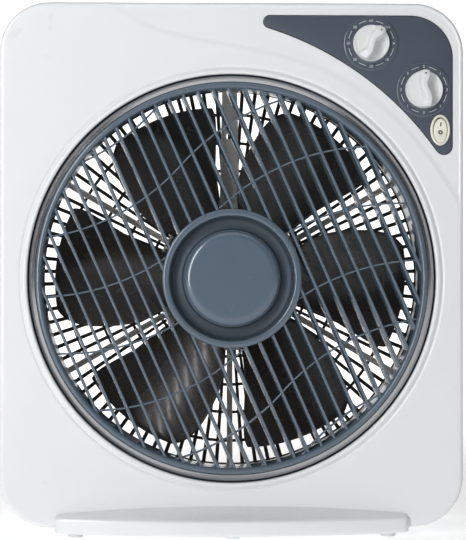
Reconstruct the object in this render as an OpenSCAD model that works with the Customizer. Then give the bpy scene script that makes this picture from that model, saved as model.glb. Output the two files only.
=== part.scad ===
// Box fan with a slowly turning louvre grille in front of the fan blade.
// Millimetres. +Z up, front face towards -Y, origin on the floor under the middle of the housing.

/* [Housing] */
// Overall width of the housing
body_w = 363; // [358:1:366]
// Height of the housing, without its foot
body_h = 410; // [406:1:416]
// Depth of the housing, front face to back wall
body_d = 110; // [108:1:116]
// Corner radius of the housing, seen from the front
corner_r = 40; // [34:1:44]
// Wall thickness of the moulded shells
wall = 2.6; // [2.2:0.1:3]
// Gap under the housing
floor_gap = 5; // [4.6:0.1:5.4]
// Height of the fan axis above the floor
axis_z = 199.5; // [197:0.5:202]

/* [Turning grille] */
// Radius of the round opening in the front face
lip_r = 158.7; // [158.3:0.1:159.2]
// Number of louvres either side of the middle one
louvres_each_side = 12; // [10:1:12]
// Distance between neighbouring louvres
louvre_pitch = 11.48; // [11:0.02:11.6]
// Thickness of one louvre
louvre_t = 1.9; // [1.4:0.1:2.4]
// Lean of the louvres from upright, seen from the front
louvre_lean = 23.85; // [0:0.05:45]
// Sideways tilt of each louvre's depth
louvre_tilt = 8; // [0:1:14]
// Distance between neighbouring cross ribs
rib_pitch = 48.4; // [44:0.2:50]
// Radius of the grille's hub
hub_r = 54.2; // [50:0.1:56]

/* [Fan] */
// Number of fan blades
blades = 6; // [3:1:7]
// Radius at the blade tips
tip_r = 142.5; // [130:0.5:144]
// Thickness of a blade
blade_t = 2.2; // [1.6:0.1:2.8]
// Pitch angle of a blade
blade_pitch = 21; // [16:1:24]

/* [Rear guard] */
// Number of radial bars
guard_bars = 90; // [60:6:90]
// Depth of a bar
bar_d = 3; // [2:0.2:3.4]

/* [Foot] */
// Width of the foot
foot_w = 275; // [260:1:290]
// How far the foot stands out of the front and back faces at its middle
foot_out = 23; // [20:1:26]
// Height of the foot's crown where it meets the front face
foot_h = 23; // [21:0.5:25]

/* [Controls] */
// Radius of the timer knob
timer_knob_r = 14.1; // [12:0.1:15]
// Radius of the speed knob
speed_knob_r = 14.5; // [12:0.1:15]
// Height of the knobs above the panel
knob_h = 13.5; // [10:0.5:16]

/* [Hidden] */
$fn = 96;
yf = -body_d / 2;               // front face
yb = body_d / 2;                // back face
top_z = floor_gap + body_h;
mid_z = floor_gap + body_h / 2;
sk = 1.2;                       // the front shell's outline is this much inside the rear shell's
ysplit = yf + 12;               // where the two shells meet
tunnel_in = 158;
tunnel_out = 162.5;
flange_r = 162;                 // running rim of the turning grille
fl0 = yf + 8;                   // front and back of that rim
fl1 = yf + 10.4;
roller_at = flange_r + 0.3 + 6;
roller_angles = [90, 210, 330];
wheel_r = 24;
wheel_at = flange_r + 0.3 + wheel_r;
wheel_a = 225;
timer_x = 107.9; timer_z = top_z - 33;
speed_x = 149;   speed_z = top_z - 68.8;
rock_x = 161.7;  rock_z = top_z - 100.2;
rock_y = yf + 3;                // rocker pivot
rock_rest = 6;
shell_bosses = [[-150, 32], [150, 32], [-150, 388], [150, 388], [-169, 282], [169, 282]];
guard_screw_a = [45, 135, 225, 315];
foot_R = (pow(foot_w / 2, 2) + 18 * 18) / 36;
foot_y = -(yf - foot_out) - foot_R;   // centre of the back arc, negative

// ---- shared shapes ----
// A cylinder along Y from y0 to y1.
module cy(r, y0, y1, x = 0, z = 0) translate([x, y0, z]) rotate([-90, 0, 0]) cylinder(r = r, h = y1 - y0);
module cone(r0, r1, y0, y1, x = 0, z = 0) translate([x, y0, z]) rotate([-90, 0, 0]) cylinder(r1 = r0, r2 = r1, h = y1 - y0);
// A flat outline in X and Z, from y0 to y1.
module plate(y0, y1) translate([0, y1, 0]) rotate([90, 0, 0]) linear_extrude(height = y1 - y0) children();
// A profile of [radius, y] turned round an axis along Y.
module turned(x = 0, z = axis_z) translate([x, 0, z]) rotate([-90, 0, 0]) rotate_extrude($fn = 180) children();
module ring(r0, r1, y0, y1, x = 0, z = axis_z) turned(x, z) translate([r0, y0]) square([r1 - r0, y1 - y0]);
module block(x0, x1, y0, y1, z0, z1) translate([x0, y0, z0]) cube([x1 - x0, y1 - y0, z1 - z0]);
module rounded(w, h, r) {
    square([w - 2 * r, h], center = true);
    square([w, h - 2 * r], center = true);
    for (i = [-1, 1], j = [-1, 1]) translate([i * (w / 2 - r), j * (h / 2 - r)]) circle(r);
}
module outline(inset) translate([0, mid_z]) rounded(body_w - 2 * inset, body_h - 2 * inset, corner_r - inset);
function polx(r, a) = r * cos(a);
function polz(r, a) = axis_z + r * sin(a);
// Tapped boss with its blind hole, opening towards +Y.
module boss(r, hole, y0, y1, x, z) difference() {
    cy(r, y0, y1, x, z);
    cy(hole, y0 + 3, y1 + 1, x, z);
}

// ---- housing ----
// Outline of the control panel, grown by g.
module panel_outline(g) {
    difference() {
        intersection() {
            translate([170.9 + g - 160, 403 + g - top_z + top_z - 160]) rounded(320, 320, 32.4);
            translate([29.3, 302.4]) square([160, 160]);
        }
        translate([-47.1, 152.7]) circle(253.3 - g, $fn = 200);
    }
    translate([29.3, 398.8]) circle(4.4 + g);
    translate([164.9, 302.4]) circle(6 + g);
}
module front_shell() color([0.93, 0.94, 0.95]) {
    difference() {
        union() {
            plate(yf, yf + wall + 0.2) outline(sk);
            difference() {
                plate(yf + 1, ysplit) outline(sk);
                plate(yf, ysplit + 1) outline(sk + wall);
            }
            // raised lip round the opening
            turned() polygon([[lip_r - 2, yf + 0.5], [lip_r - 2, yf - 1], [lip_r + 1, yf - 1.6], [lip_r + 3, yf - 1.2], [lip_r + 4, yf + 0.5]]);
            // roller bosses
            for (a = roller_angles) cy(4.5, yf + 2, yf + 5.7, polx(roller_at, a), polz(roller_at, a));
            // posts of the grille's motor
            for (s = [-1, 1]) cy(3.6, yf + 2, yf + 15.4, polx(wheel_at, wheel_a) + s * 20.5, polz(wheel_at, wheel_a) - s * 20.5);
            for (p = shell_bosses) cy(4.6, yf + 2, yf + 35, p[0], p[1]);
        }
        cy(lip_r, yf - 5, yf + 5, 0, axis_z);
        // groove outside the lip
        ring(lip_r + 4, lip_r + 6.4, yf - 1, yf + 0.5);
        for (a = roller_angles) cy(2.03, yf + 2.6, yf + 20, polx(roller_at, a), polz(roller_at, a));
        for (s = [-1, 1]) cy(1.55, yf + 5, yf + 16, polx(wheel_at, wheel_a) + s * 20.5, polz(wheel_at, wheel_a) - s * 20.5);
        for (p = shell_bosses) cy(1.65, yf + 12, yf + 36, p[0], p[1]);
        // seat of the control panel
        plate(yf - 1, yf + 1.7) panel_outline(0.5);
        cy(3.8, yf - 1, yf + 4, timer_x, timer_z);
        cy(3.8, yf - 1, yf + 4, speed_x, speed_z);
        block(rock_x - 6.3, rock_x + 6.3, yf - 1, yf + 4, rock_z - 10.6, rock_z + 10.6);
    }
}
module rear_shell() color([0.92, 0.93, 0.94]) {
    difference() {
        union() {
            difference() {
                plate(ysplit, yb) outline(0);
                plate(ysplit - 1, yb - 3) outline(wall);
            }
            // air tunnel
            ring(tunnel_in, tunnel_in + 2.6, yf + 17, yb - 10.4);
            ring(tunnel_in + 1, tunnel_out, yb - 15.6, yb - 2);
            // screw columns
            for (p = shell_bosses) cy(6, yf + 35.2, yb - 2, p[0], p[1]);
            for (a = guard_screw_a) cy(3.6, yb - 11, yb - 2, polx(166.6, a), polz(166.6, a));
            // walls of the carrying grip
            block(-64.5, 64.5, yb - 30.5, yb - 2, 374.5, 404.5);
            // bosses for the foot's screws
            for (x = [-100, 100], y = [-30, 30]) translate([x, y, floor_gap + 1]) cylinder(r = 4, h = 10);
        }
        // opening behind the fan, stepped to seat the motor bracket
        cy(tunnel_in, yf + 10, yb + 1, 0, axis_z);
        cy(tunnel_in + 2, yb - 13, yb + 1, 0, axis_z);
        for (p = shell_bosses) {
            cy(2.1, yf + 34, yb + 1, p[0], p[1]);
            cy(4.3, yf + 45, yb + 1, p[0], p[1]);
        }
        for (a = guard_screw_a) cy(1.55, yb - 9, yb + 1, polx(166.6, a), polz(166.6, a));
        block(-62, 62, yb - 28, yb + 1, 377, 402);
        cy(6.1, yb - 10, yb + 1, 135, 52);
        for (x = [-100, 100], y = [-30, 30]) translate([x, y, floor_gap - 1]) cylinder(r = 1.65, h = 10);
    }
}
// Radial bars on concentric rings round a closed middle.
module rear_guard() color([0.06, 0.06, 0.06]) {
    difference() {
        union() {
            ring(156.6, 170.6, yb + 0.1, yb + 2.1);
            cy(61, yb - 1, yb + 1.6, 0, axis_z);
            for (r = [66.7, 90.3, 113.6, 137.6]) ring(r - 1.2, r + 1.2, yb - 2.2, yb - 0.2);
            for (i = [0 : guard_bars - 1]) translate([0, 0, axis_z]) rotate([0, (i + 0.5) * 360 / guard_bars, 0])
                translate([0, yb - 1.1, 0]) plate(0, bar_d) polygon([[59, -1.1], [158.6, -1.6], [158.6, 1.6], [59, 1.1]]);
        }
        for (a = guard_screw_a) cy(1.7, yb - 1, yb + 3, polx(166.6, a), polz(166.6, a));
    }
}
// Six arms that carry the motor in the middle of the air tunnel.
module motor_bracket() color([0.8, 0.8, 0.79]) {
    difference() {
        union() {
            ring(157.6, 159.85, yb - 12.9, yb - 1.3);
            cy(60.5, yb - 11, yb - 8, 0, axis_z);
            ring(58, 60.5, yb - 22, yb - 8);
            for (a = [30, 150, 210, 270, 330]) translate([0, 0, axis_z]) rotate([0, -a, 0]) block(55, 158.6, yb - 12, yb - 3, -2.4, 2.4);
            // the top arm is a wide channel for the motor's wires
            difference() {
                plate(yb - 12, yb - 3) polygon([[-8.4, axis_z + 55], [-6.2, axis_z + 158.4], [6.2, axis_z + 158.4], [8.4, axis_z + 55]]);
                plate(yb - 10.4, yb - 2) polygon([[-6.2, axis_z + 60], [-4.4, axis_z + 155.8], [4.4, axis_z + 155.8], [6.2, axis_z + 60]]);
                block(-1.9, 1.9, yb - 14, yb - 1, axis_z + 116, axis_z + 121);
            }
        }
        cy(11, yb - 13, yb - 7, 0, axis_z);
        for (a = [45 : 90 : 315]) cy(1.8, yb - 13, yb - 7, polx(30, a), polz(30, a));
    }
}

// ---- fan motor ----
module motor_front_bell() color([0.7, 0.71, 0.72]) difference() {
    union() {
        difference() {
            cy(38, 2, 21.9, 0, axis_z);
            cy(36.3, 3.6, 23, 0, axis_z);
        }
        cy(10.5, -1, 8, 0, axis_z);
    }
    cy(8.02, 0, 9, 0, axis_z);
    cy(5, -2, 1, 0, axis_z);
}
module motor_rear_bell() color([0.7, 0.71, 0.72]) difference() {
    union() {
        difference() {
            cy(38, 22, yb - 11.1, 0, axis_z);
            cy(36.3, 21, yb - 12.7, 0, axis_z);
        }
        cy(10.5, 35, yb - 11.1, 0, axis_z);
        for (a = [45 : 90 : 315]) cy(4, yb - 16, yb - 11.1, polx(30, a), polz(30, a));
    }
    cy(8.02, 34, yb - 12, 0, axis_z);
    for (a = [45 : 90 : 315]) cy(1.55, yb - 18, yb - 10, polx(30, a), polz(30, a));
}
module stator_core() color([0.35, 0.36, 0.38]) ring(22, 36.1, 13, 31);
module stator_windings() color([0.72, 0.42, 0.2]) {
    for (y = [9.2, 34.8]) turned() translate([28.5, y]) circle(3.7, $fn = 48);
}
module front_bearing() color([0.75, 0.6, 0.32]) ring(4.05, 8, 1.1, 7.8);
module rear_bearing() color([0.75, 0.6, 0.32]) ring(4.05, 8, 35.4, 42);
module motor_screws() color([0.75, 0.76, 0.78]) for (a = [45 : 90 : 315]) {
    cy(1.5, yb - 15.5, yb - 7.5, polx(30, a), polz(30, a));
    cy(3.2, yb - 7.9, yb - 5.9, polx(30, a), polz(30, a));
}
module motor_shaft() color([0.8, 0.81, 0.83]) cy(4, -27.5, 42.6, 0, axis_z);
module rotor_core() color([0.5, 0.51, 0.53]) ring(4.02, 21.5, 13, 31);

// ---- fan ----
// Front outline of one blade, with its root on the hub and its middle at 59 degrees.
module blade_outline() intersection() {
    polygon([[35, 22], [46, 37.5], [61, 48.5], [72, 55.5], [87, 63.5], [104, 73], [112, 78.5], [116, 84], [112, 95.5], [97, 112],
        [76, 126.5], [57, 134.5], [43, 133.5], [33, 128], [25, 119.5], [18, 108.5], [11.5, 96], [6.5, 83], [4.2, 66], [8, 40]]);
    circle(tip_r, $fn = 180);
}
module fan_blade() color([0.12, 0.11, 0.1]) {
    difference() {
        union() {
            difference() {
                cy(46, -16, 14, 0, axis_z);
                cy(43.6, -13.2, 15, 0, axis_z);
            }
            cy(8.5, -16, -1.8, 0, axis_z);
            for (i = [0 : blades - 1]) translate([0, 0, axis_z]) rotate([0, -i * 360 / blades, 0]) difference() {
                intersection() {
                    plate(-24, 34) blade_outline();
                    // a cambered sheet: part of a wide tube laid along the blade
                    translate([0, 4, 0]) rotate([0, -59, 0]) rotate([blade_pitch, 0, 0]) translate([30, 168, 0]) rotate([0, 90, 0]) difference() {
                        cylinder(r = 168 + blade_t / 2, h = 130, $fn = 180);
                        translate([0, 0, -1]) cylinder(r = 168 - blade_t / 2, h = 132, $fn = 180);
                    }
                }
                cy(44.8, -30, 40, 0, 0);
                translate([0, -60, 0]) rotate([0, -59, 0]) block(-200, 0, -10, 130, -200, 200);
            }
        }
        cy(4.02, -17, -1, 0, axis_z);
    }
}
module blade_nut() color([0.12, 0.11, 0.1]) difference() {
    union() {
        cy(10.5, -25, -16.1, 0, axis_z);
        cone(7.5, 10.5, -29.5, -25, 0, axis_z);
    }
    cy(4.04, -28, -16, 0, axis_z);
}

// ---- turning grille ----
module swing_grille() color([0.36, 0.42, 0.48]) {
    // rim: rounded crown, inner skirt and running flange
    turned() difference() {
        union() {
            translate([151.6, yf + 4.5]) circle(6.2, $fn = 72);
            translate([145.4, yf + 4.5]) square([2.2, 8.5]);
            translate([155.6, yf + 4.5]) square([2.2, 5.9]);
            translate([155.6, fl0]) square([flange_r - 155.6, fl1 - fl0]);
        }
        // seat of the trim ring
        intersection() {
            difference() {
                translate([151.6, yf + 4.5]) circle(7, $fn = 72);
                translate([151.6, yf + 4.5]) circle(5.2, $fn = 72);
            }
            translate([152.6, yf - 4]) square([8, 8.4]);
        }
        translate([151.6, yf + 4.5]) circle(4.2, $fn = 72);
        translate([147.6, yf + 4.5]) square([8, 20]);
    }
    // hub: rounded ring, dished groove, closed floor and skirt
    turned() polygon([[0, yf + 3.4], [37.4, yf + 3.4], [38.2, yf + 8.6], [46.4, yf + 8.6], [48.6, yf + 1.2], [49, yf - 0.6], [50, yf - 1.5], [51.6, yf - 1.8], [53.2, yf - 1.2],
        [hub_r, yf + 0.6], [hub_r, yf + 13], [hub_r - 2, yf + 13], [hub_r - 2, yf + 5.6], [50.2, yf + 5.6], [48.4, yf + 10.8], [36.2, yf + 10.8], [35.4, yf + 5.6], [0, yf + 5.6]]);
    intersection() {
        translate([0, 0, axis_z]) rotate([0, -louvre_lean, 0]) difference() {
            union() {
                for (k = [-louvres_each_side : louvres_each_side]) translate([k * louvre_pitch, yf + 0.6, 0]) rotate([0, 0, louvre_tilt])
                    block(-louvre_t / 2, louvre_t / 2, 0, 12.2, -147, 147);
                for (k = [-3 : 3]) plate(yf + 2.4, yf + 5.4) cross_rib(k * rib_pitch);
            }
            cy(hub_r - 1, yf - 5, yf + 20, 0, 0);
        }
        cy(146.6, yf - 5, yf + 20, 0, axis_z);
    }
}
// An S curve of two arcs, low on the left and high on the right.
rib_a = 15.8; rib_u = 72.4; rib_R = (rib_u * rib_u + rib_a * rib_a) / (2 * rib_a);
module cross_rib(v) for (s = [-1, 1]) intersection() {
    translate([s * rib_u, v + s * (rib_a - rib_R)]) difference() {
        circle(rib_R + 0.7, $fn = 200);
        circle(rib_R - 0.7, $fn = 200);
    }
    translate([s > 0 ? 0 : -150, s > 0 ? v - 12 : v - 30]) square([150, 42]);
}
// Bright ring let into the outer shoulder of the grille's rim.
module grille_trim_ring() color([0.5, 0.5, 0.5]) turned() intersection() {
    difference() {
        translate([151.6, yf + 4.5]) circle(6.2, $fn = 72);
        translate([151.6, yf + 4.5]) circle(5.25, $fn = 72);
    }
    translate([152.8, yf - 3]) square([7, 7.3]);
}
module grille_hub_cap() color([0.36, 0.42, 0.48]) {
    cy(37.2, yf, yf + 3.3, 0, axis_z);
    cone(36, 37.2, yf - 1.4, yf, 0, axis_z);
}
module guide_roller(a) color([0.9, 0.9, 0.88]) turned(polx(roller_at, a), polz(roller_at, a))
    polygon([[2.06, yf + 6], [8.4, yf + 6], [8.4, yf + 7.2], [6, yf + 7.6], [6, yf + 10.8], [8.4, yf + 11.2], [8.4, yf + 12.4], [2.06, yf + 12.4]]);
module guide_roller_pins() color([0.75, 0.76, 0.78]) for (a = roller_angles) {
    cy(2, yf + 2.7, yf + 13.2, polx(roller_at, a), polz(roller_at, a));
    cy(3.6, yf + 12.7, yf + 14.2, polx(roller_at, a), polz(roller_at, a));
}
module drive_wheel() color([0.85, 0.85, 0.84]) ring(3.02, 20, fl0 - 1, fl1 + 0.6, polx(wheel_at, wheel_a), polz(wheel_at, wheel_a));
module drive_tyre() color([0.1, 0.1, 0.1]) ring(20.02, wheel_r, fl0 - 0.6, fl1 + 0.4, polx(wheel_at, wheel_a), polz(wheel_at, wheel_a));
module swing_motor_shaft() color([0.8, 0.81, 0.83]) cy(3, yf + 6.5, yf + 24, polx(wheel_at, wheel_a), polz(wheel_at, wheel_a));
module swing_motor() color([0.72, 0.73, 0.74]) translate([polx(wheel_at, wheel_a), 0, polz(wheel_at, wheel_a)]) difference() {
    union() {
        cy(22.4, yf + 15.5, yf + 33);
        rotate([0, 45, 0]) plate(yf + 15.5, yf + 17) {
            square([58, 9], center = true);
            for (s = [-1, 1]) translate([s * 29, 0]) circle(4.5);
        }
    }
    cy(3.06, yf + 15, yf + 25);
    rotate([0, 45, 0]) for (s = [-1, 1]) cy(1.8, yf + 15, yf + 18, s * 29, 0);
}
module swing_motor_screws() color([0.75, 0.76, 0.78]) translate([polx(wheel_at, wheel_a), 0, polz(wheel_at, wheel_a)]) rotate([0, 45, 0]) for (s = [-1, 1]) {
    cy(1.5, yf + 7, yf + 17.4, s * 28.99, 0);
    cy(3, yf + 17.1, yf + 19, s * 28.99, 0);
}

// ---- controls ----
module control_panel() color([0.31, 0.34, 0.39]) {
    difference() {
        union() {
            plate(yf - 0.3, yf + 1.6) panel_outline(0);
            for (p = [[timer_x, timer_z], [speed_x, speed_z]]) cone(20.4, 21.3, yf - 1, yf, p[0], p[1]);
        }
        cy(3.5, yf - 2, yf + 4, timer_x, timer_z);
        cy(3.5, yf - 2, yf + 4, speed_x, speed_z);
        block(rock_x - 6.1, rock_x + 6.1, yf - 2, yf + 4, rock_z - 10.4, rock_z + 10.4);
    }
}
// Printed arcs round the dials: from a0 to a1 degrees, clockwise from the top.
module arc_mark(x, z, r, a0, a1, w) translate([x, 0, z]) plate(yf - 1.12, yf - 1.02) intersection() {
    difference() {
        circle(r + w / 2);
        circle(r - w / 2);
    }
    polygon([[0, 0], [40 * sin(a0), 40 * cos(a0)], [40 * sin((a0 + a1) / 2), 40 * cos((a0 + a1) / 2)], [40 * sin(a1), 40 * cos(a1)]]);
}
module dial_marks() color([0.85, 0.86, 0.87]) {
    for (a = [0 : 45 : 315]) arc_mark(timer_x, timer_z, 17.3, a + 11, a + 34, 0.5);
    for (a = [0 : 45 : 315]) arc_mark(speed_x, speed_z, 17.6, a + 11, a + 34, 0.5);
}
module timer_body() color([0.2, 0.2, 0.21]) difference() {
    block(timer_x - 24, timer_x + 24, yf + 2.9, yf + 34, timer_z - 24, timer_z + 24);
    cy(3.06, yf, yf + 26, timer_x, timer_z);
}
module timer_spindle() color([0.85, 0.84, 0.78]) cy(3, yf - 11, yf + 25, timer_x, timer_z);
// Round knob with a grip bar across it and a pointer lobe, turned a degrees clockwise.
module knob(x, z, r, a) translate([x, 0, z]) rotate([0, a, 0]) difference() {
    union() {
        cy(r, yf - 3.8, yf - 1.5);
        cone(r - 2.2, r, yf - 5.4, yf - 3.8);
        cone(4.2, 6, yf - knob_h, yf - 4);
        translate([0, 0, 0]) plate(yf - knob_h, yf - 4) {
            square([5.6, 2 * r - 7], center = true);
            translate([0, r - 4.4]) circle(3.4);
            translate([0, -r + 4.4]) circle(3.4);
        }
    }
    cy(3.02, yf - 11.2, yf);
}
module timer_knob() color([0.72, 0.72, 0.71]) knob(timer_x, timer_z, timer_knob_r, 37);
module speed_switch() color([0.2, 0.2, 0.21]) difference() {
    block(speed_x - 14.8, speed_x + 14.8, yf + 2.9, yf + 27, speed_z - 15, speed_z + 15);
    cy(3.06, yf, yf + 20, speed_x, speed_z);
}
module speed_spindle() color([0.85, 0.84, 0.78]) cy(3, yf - 11, yf + 19, speed_x, speed_z);
module speed_knob() color([0.72, 0.72, 0.71]) knob(speed_x, speed_z, speed_knob_r, 0);
module oval(w, h) {
    square([2 * w, 2 * (h - w)], center = true);
    for (s = [-1, 1]) translate([0, s * (h - w)]) circle(w);
}
module rocker_housing() color([0.9, 0.88, 0.82]) difference() {
    union() {
        translate([rock_x, 0, rock_z]) plate(yf - 1.9, yf - 0.35) oval(7.7, 12);
        block(rock_x - 6, rock_x + 6, yf - 1, yf + 18, rock_z - 10.2, rock_z + 10.2);
    }
    intersection() {
        union() {
            translate([rock_x - 9, rock_y, rock_z]) rotate([0, 90, 0]) cylinder(r = 9.5, h = 18);
            block(rock_x - 9, rock_x + 9, yf - 4, rock_y, rock_z - 9.5, rock_z + 9.5);
        }
        translate([rock_x, 0, rock_z]) plate(yf - 4, yf + 14) oval(5.5, 9.7);
    }
}
module rocker() color([0.93, 0.91, 0.85]) translate([rock_x, rock_y, rock_z]) rotate([rock_rest, 0, 0]) intersection() {
    plate(-12, 9) oval(5.2, 9.3);
    translate([-6, 0, 0]) rotate([0, 90, 0]) cylinder(r = 9.2, h = 12);
    rotate([0, 90, 0]) linear_extrude(height = 12, center = true) polygon([[-10, -6.9], [0, -5.4], [10, -6.9], [10, 8], [-10, 8]]);
}
module run_capacitor() color([0.88, 0.88, 0.86]) block(-141, -107, yb - 20, yb - 3.1, 336, 360);
module terminal_block() color([0.9, 0.9, 0.88]) block(128, 154, yb - 16, yb - 3.1, 66, 84);
module cord_inlet() color([0.1, 0.1, 0.1]) difference() {
    union() {
        cy(6, yb - 7, yb + 1, 135, 52);
        cy(8.8, yb + 0.1, yb + 4, 135, 52);
        cy(8, yb - 6.5, yb - 3.1, 135, 52);
    }
    cy(3.8, yb - 8, yb + 5, 135, 52);
}

// ---- foot ----
module lens(inset, z0, z1) intersection() {
    translate([0, foot_y, z0]) cylinder(r = foot_R - inset, h = z1 - z0, $fn = 360);
    translate([0, -foot_y, z0]) cylinder(r = foot_R - inset, h = z1 - z0, $fn = 360);
    block(-foot_w / 2 + inset, foot_w / 2 - inset, -100, 100, z0, z1);
}
module foot_base() color([0.93, 0.94, 0.95]) difference() {
    intersection() {
        lens(0, 2.5, foot_h + 1);
        translate([0, -100, foot_h - 1590]) rotate([-90, 0, 0]) cylinder(r = 1590, h = 200, $fn = 720);
    }
    // where the housing stands
    block(-200, 200, yf - 0.1, yb + 0.1, floor_gap - 0.1, 60);
    // sloping tops of the two lobes
    for (m = [0, 1]) mirror([0, m, 0]) translate([0, yf, foot_h]) rotate([19, 0, 0]) block(-200, 200, -60, 0.5, 0, 40);
    // hollow of the two lobes, open towards the housing
    difference() {
        lens(2.6, 5, 13.4);
        block(-200, 200, yf - 2.4 + 2.4, yb, 0, 30);
        block(-13, 13, -100, 100, 0, 30);
    }
    // bore and chamber of the tip-over plunger
    translate([0, yf - 11.5, 0]) {
        cylinder(r = 5.5, h = 12);
        translate([0, 0, 5]) cylinder(r = 8, h = 9);
    }
    block(-12.5, 12.5, yf - 19.6, yf + 0, 5, 13.4);
    for (x = [-100, 100], y = [-30, 30]) translate([x, y, 0]) cylinder(r = 1.8, h = 10);
}
module foot_pads() color([0.9, 0.9, 0.9]) for (x = [-121, 121], y = [-56, 56]) translate([x, y, 0]) cylinder(r = 6.1, h = 2.5);
module foot_screws() color([0.75, 0.76, 0.78]) for (x = [-100, 100], y = [-30, 30]) {
    translate([x, y, 0.7]) cylinder(r = 3.2, h = 1.8);
    translate([x, y, 2]) cylinder(r = 1.55, h = 10.5);
}
module tip_switch() color([0.2, 0.2, 0.21]) block(-10, 10, yf - 16.5, yf - 6.5, 10.6, 13.4);
module tip_plunger() color([0.9, 0.9, 0.9]) translate([0, yf - 11.5, 0]) {
    cylinder(r = 5.44, h = 8.6);
    translate([0, 0, 8]) cylinder(r = 7.2, h = 1);
    cylinder(r = 1.8, h = 10.5);
}
module shell_screws() color([0.75, 0.76, 0.78]) for (p = shell_bosses) {
    cy(1.6, yf + 16, yf + 46, p[0], p[1]);
    cy(3.6, yf + 45, yf + 47.6, p[0], p[1]);
}
module guard_screws() color([0.75, 0.76, 0.78]) for (a = guard_screw_a) {
    cy(1.5, yb - 7, yb + 2.6, polx(166.6, a), polz(166.6, a));
    cy(3, yb + 2.1, yb + 3.8, polx(166.6, a), polz(166.6, a));
}

front_shell();
rear_shell();
rear_guard();
motor_bracket();
motor_front_bell();
motor_rear_bell();
stator_core();
stator_windings();
front_bearing();
rear_bearing();
motor_screws();
motor_shaft();
rotor_core();
fan_blade();
blade_nut();
swing_grille();
grille_trim_ring();
grille_hub_cap();
guide_roller(90);  // guide_roller_top
guide_roller(210);  // guide_roller_left
guide_roller(330);  // guide_roller_right
guide_roller_pins();
drive_wheel();
drive_tyre();
swing_motor_shaft();
swing_motor();
swing_motor_screws();
control_panel();
dial_marks();
timer_body();
timer_spindle();
timer_knob();
speed_switch();
speed_spindle();
speed_knob();
rocker_housing();
rocker();
run_capacitor();
terminal_block();
foot_base();
foot_pads();
foot_screws();
tip_switch();
tip_plunger();
cord_inlet();
shell_screws();
guard_screws();
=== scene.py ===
import math

import bmesh
import bpy
import numpy as np
from mathutils import Matrix, Vector


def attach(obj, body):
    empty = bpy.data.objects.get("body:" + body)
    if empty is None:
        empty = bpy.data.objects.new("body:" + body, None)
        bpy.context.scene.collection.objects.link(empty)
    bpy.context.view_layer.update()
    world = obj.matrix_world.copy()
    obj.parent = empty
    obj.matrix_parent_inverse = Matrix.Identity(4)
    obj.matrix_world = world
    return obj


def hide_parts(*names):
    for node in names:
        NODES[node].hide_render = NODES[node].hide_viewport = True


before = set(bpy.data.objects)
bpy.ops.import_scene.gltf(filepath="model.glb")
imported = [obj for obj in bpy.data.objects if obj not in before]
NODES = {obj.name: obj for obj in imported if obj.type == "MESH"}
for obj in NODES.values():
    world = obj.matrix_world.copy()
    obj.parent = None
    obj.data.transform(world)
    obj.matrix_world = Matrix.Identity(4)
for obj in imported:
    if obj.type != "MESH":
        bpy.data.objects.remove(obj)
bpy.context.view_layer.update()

MM = 0.001
AX = 199.5            # height of the fan axis, mm
HW, HH = 181.5, 205.0  # half width and half height of the housing
MZ = 210.0
CR = 40.0
YF, YB, YS = -55.0, 55.0, -43.0
LIP = 158.7
pi = math.pi


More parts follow.
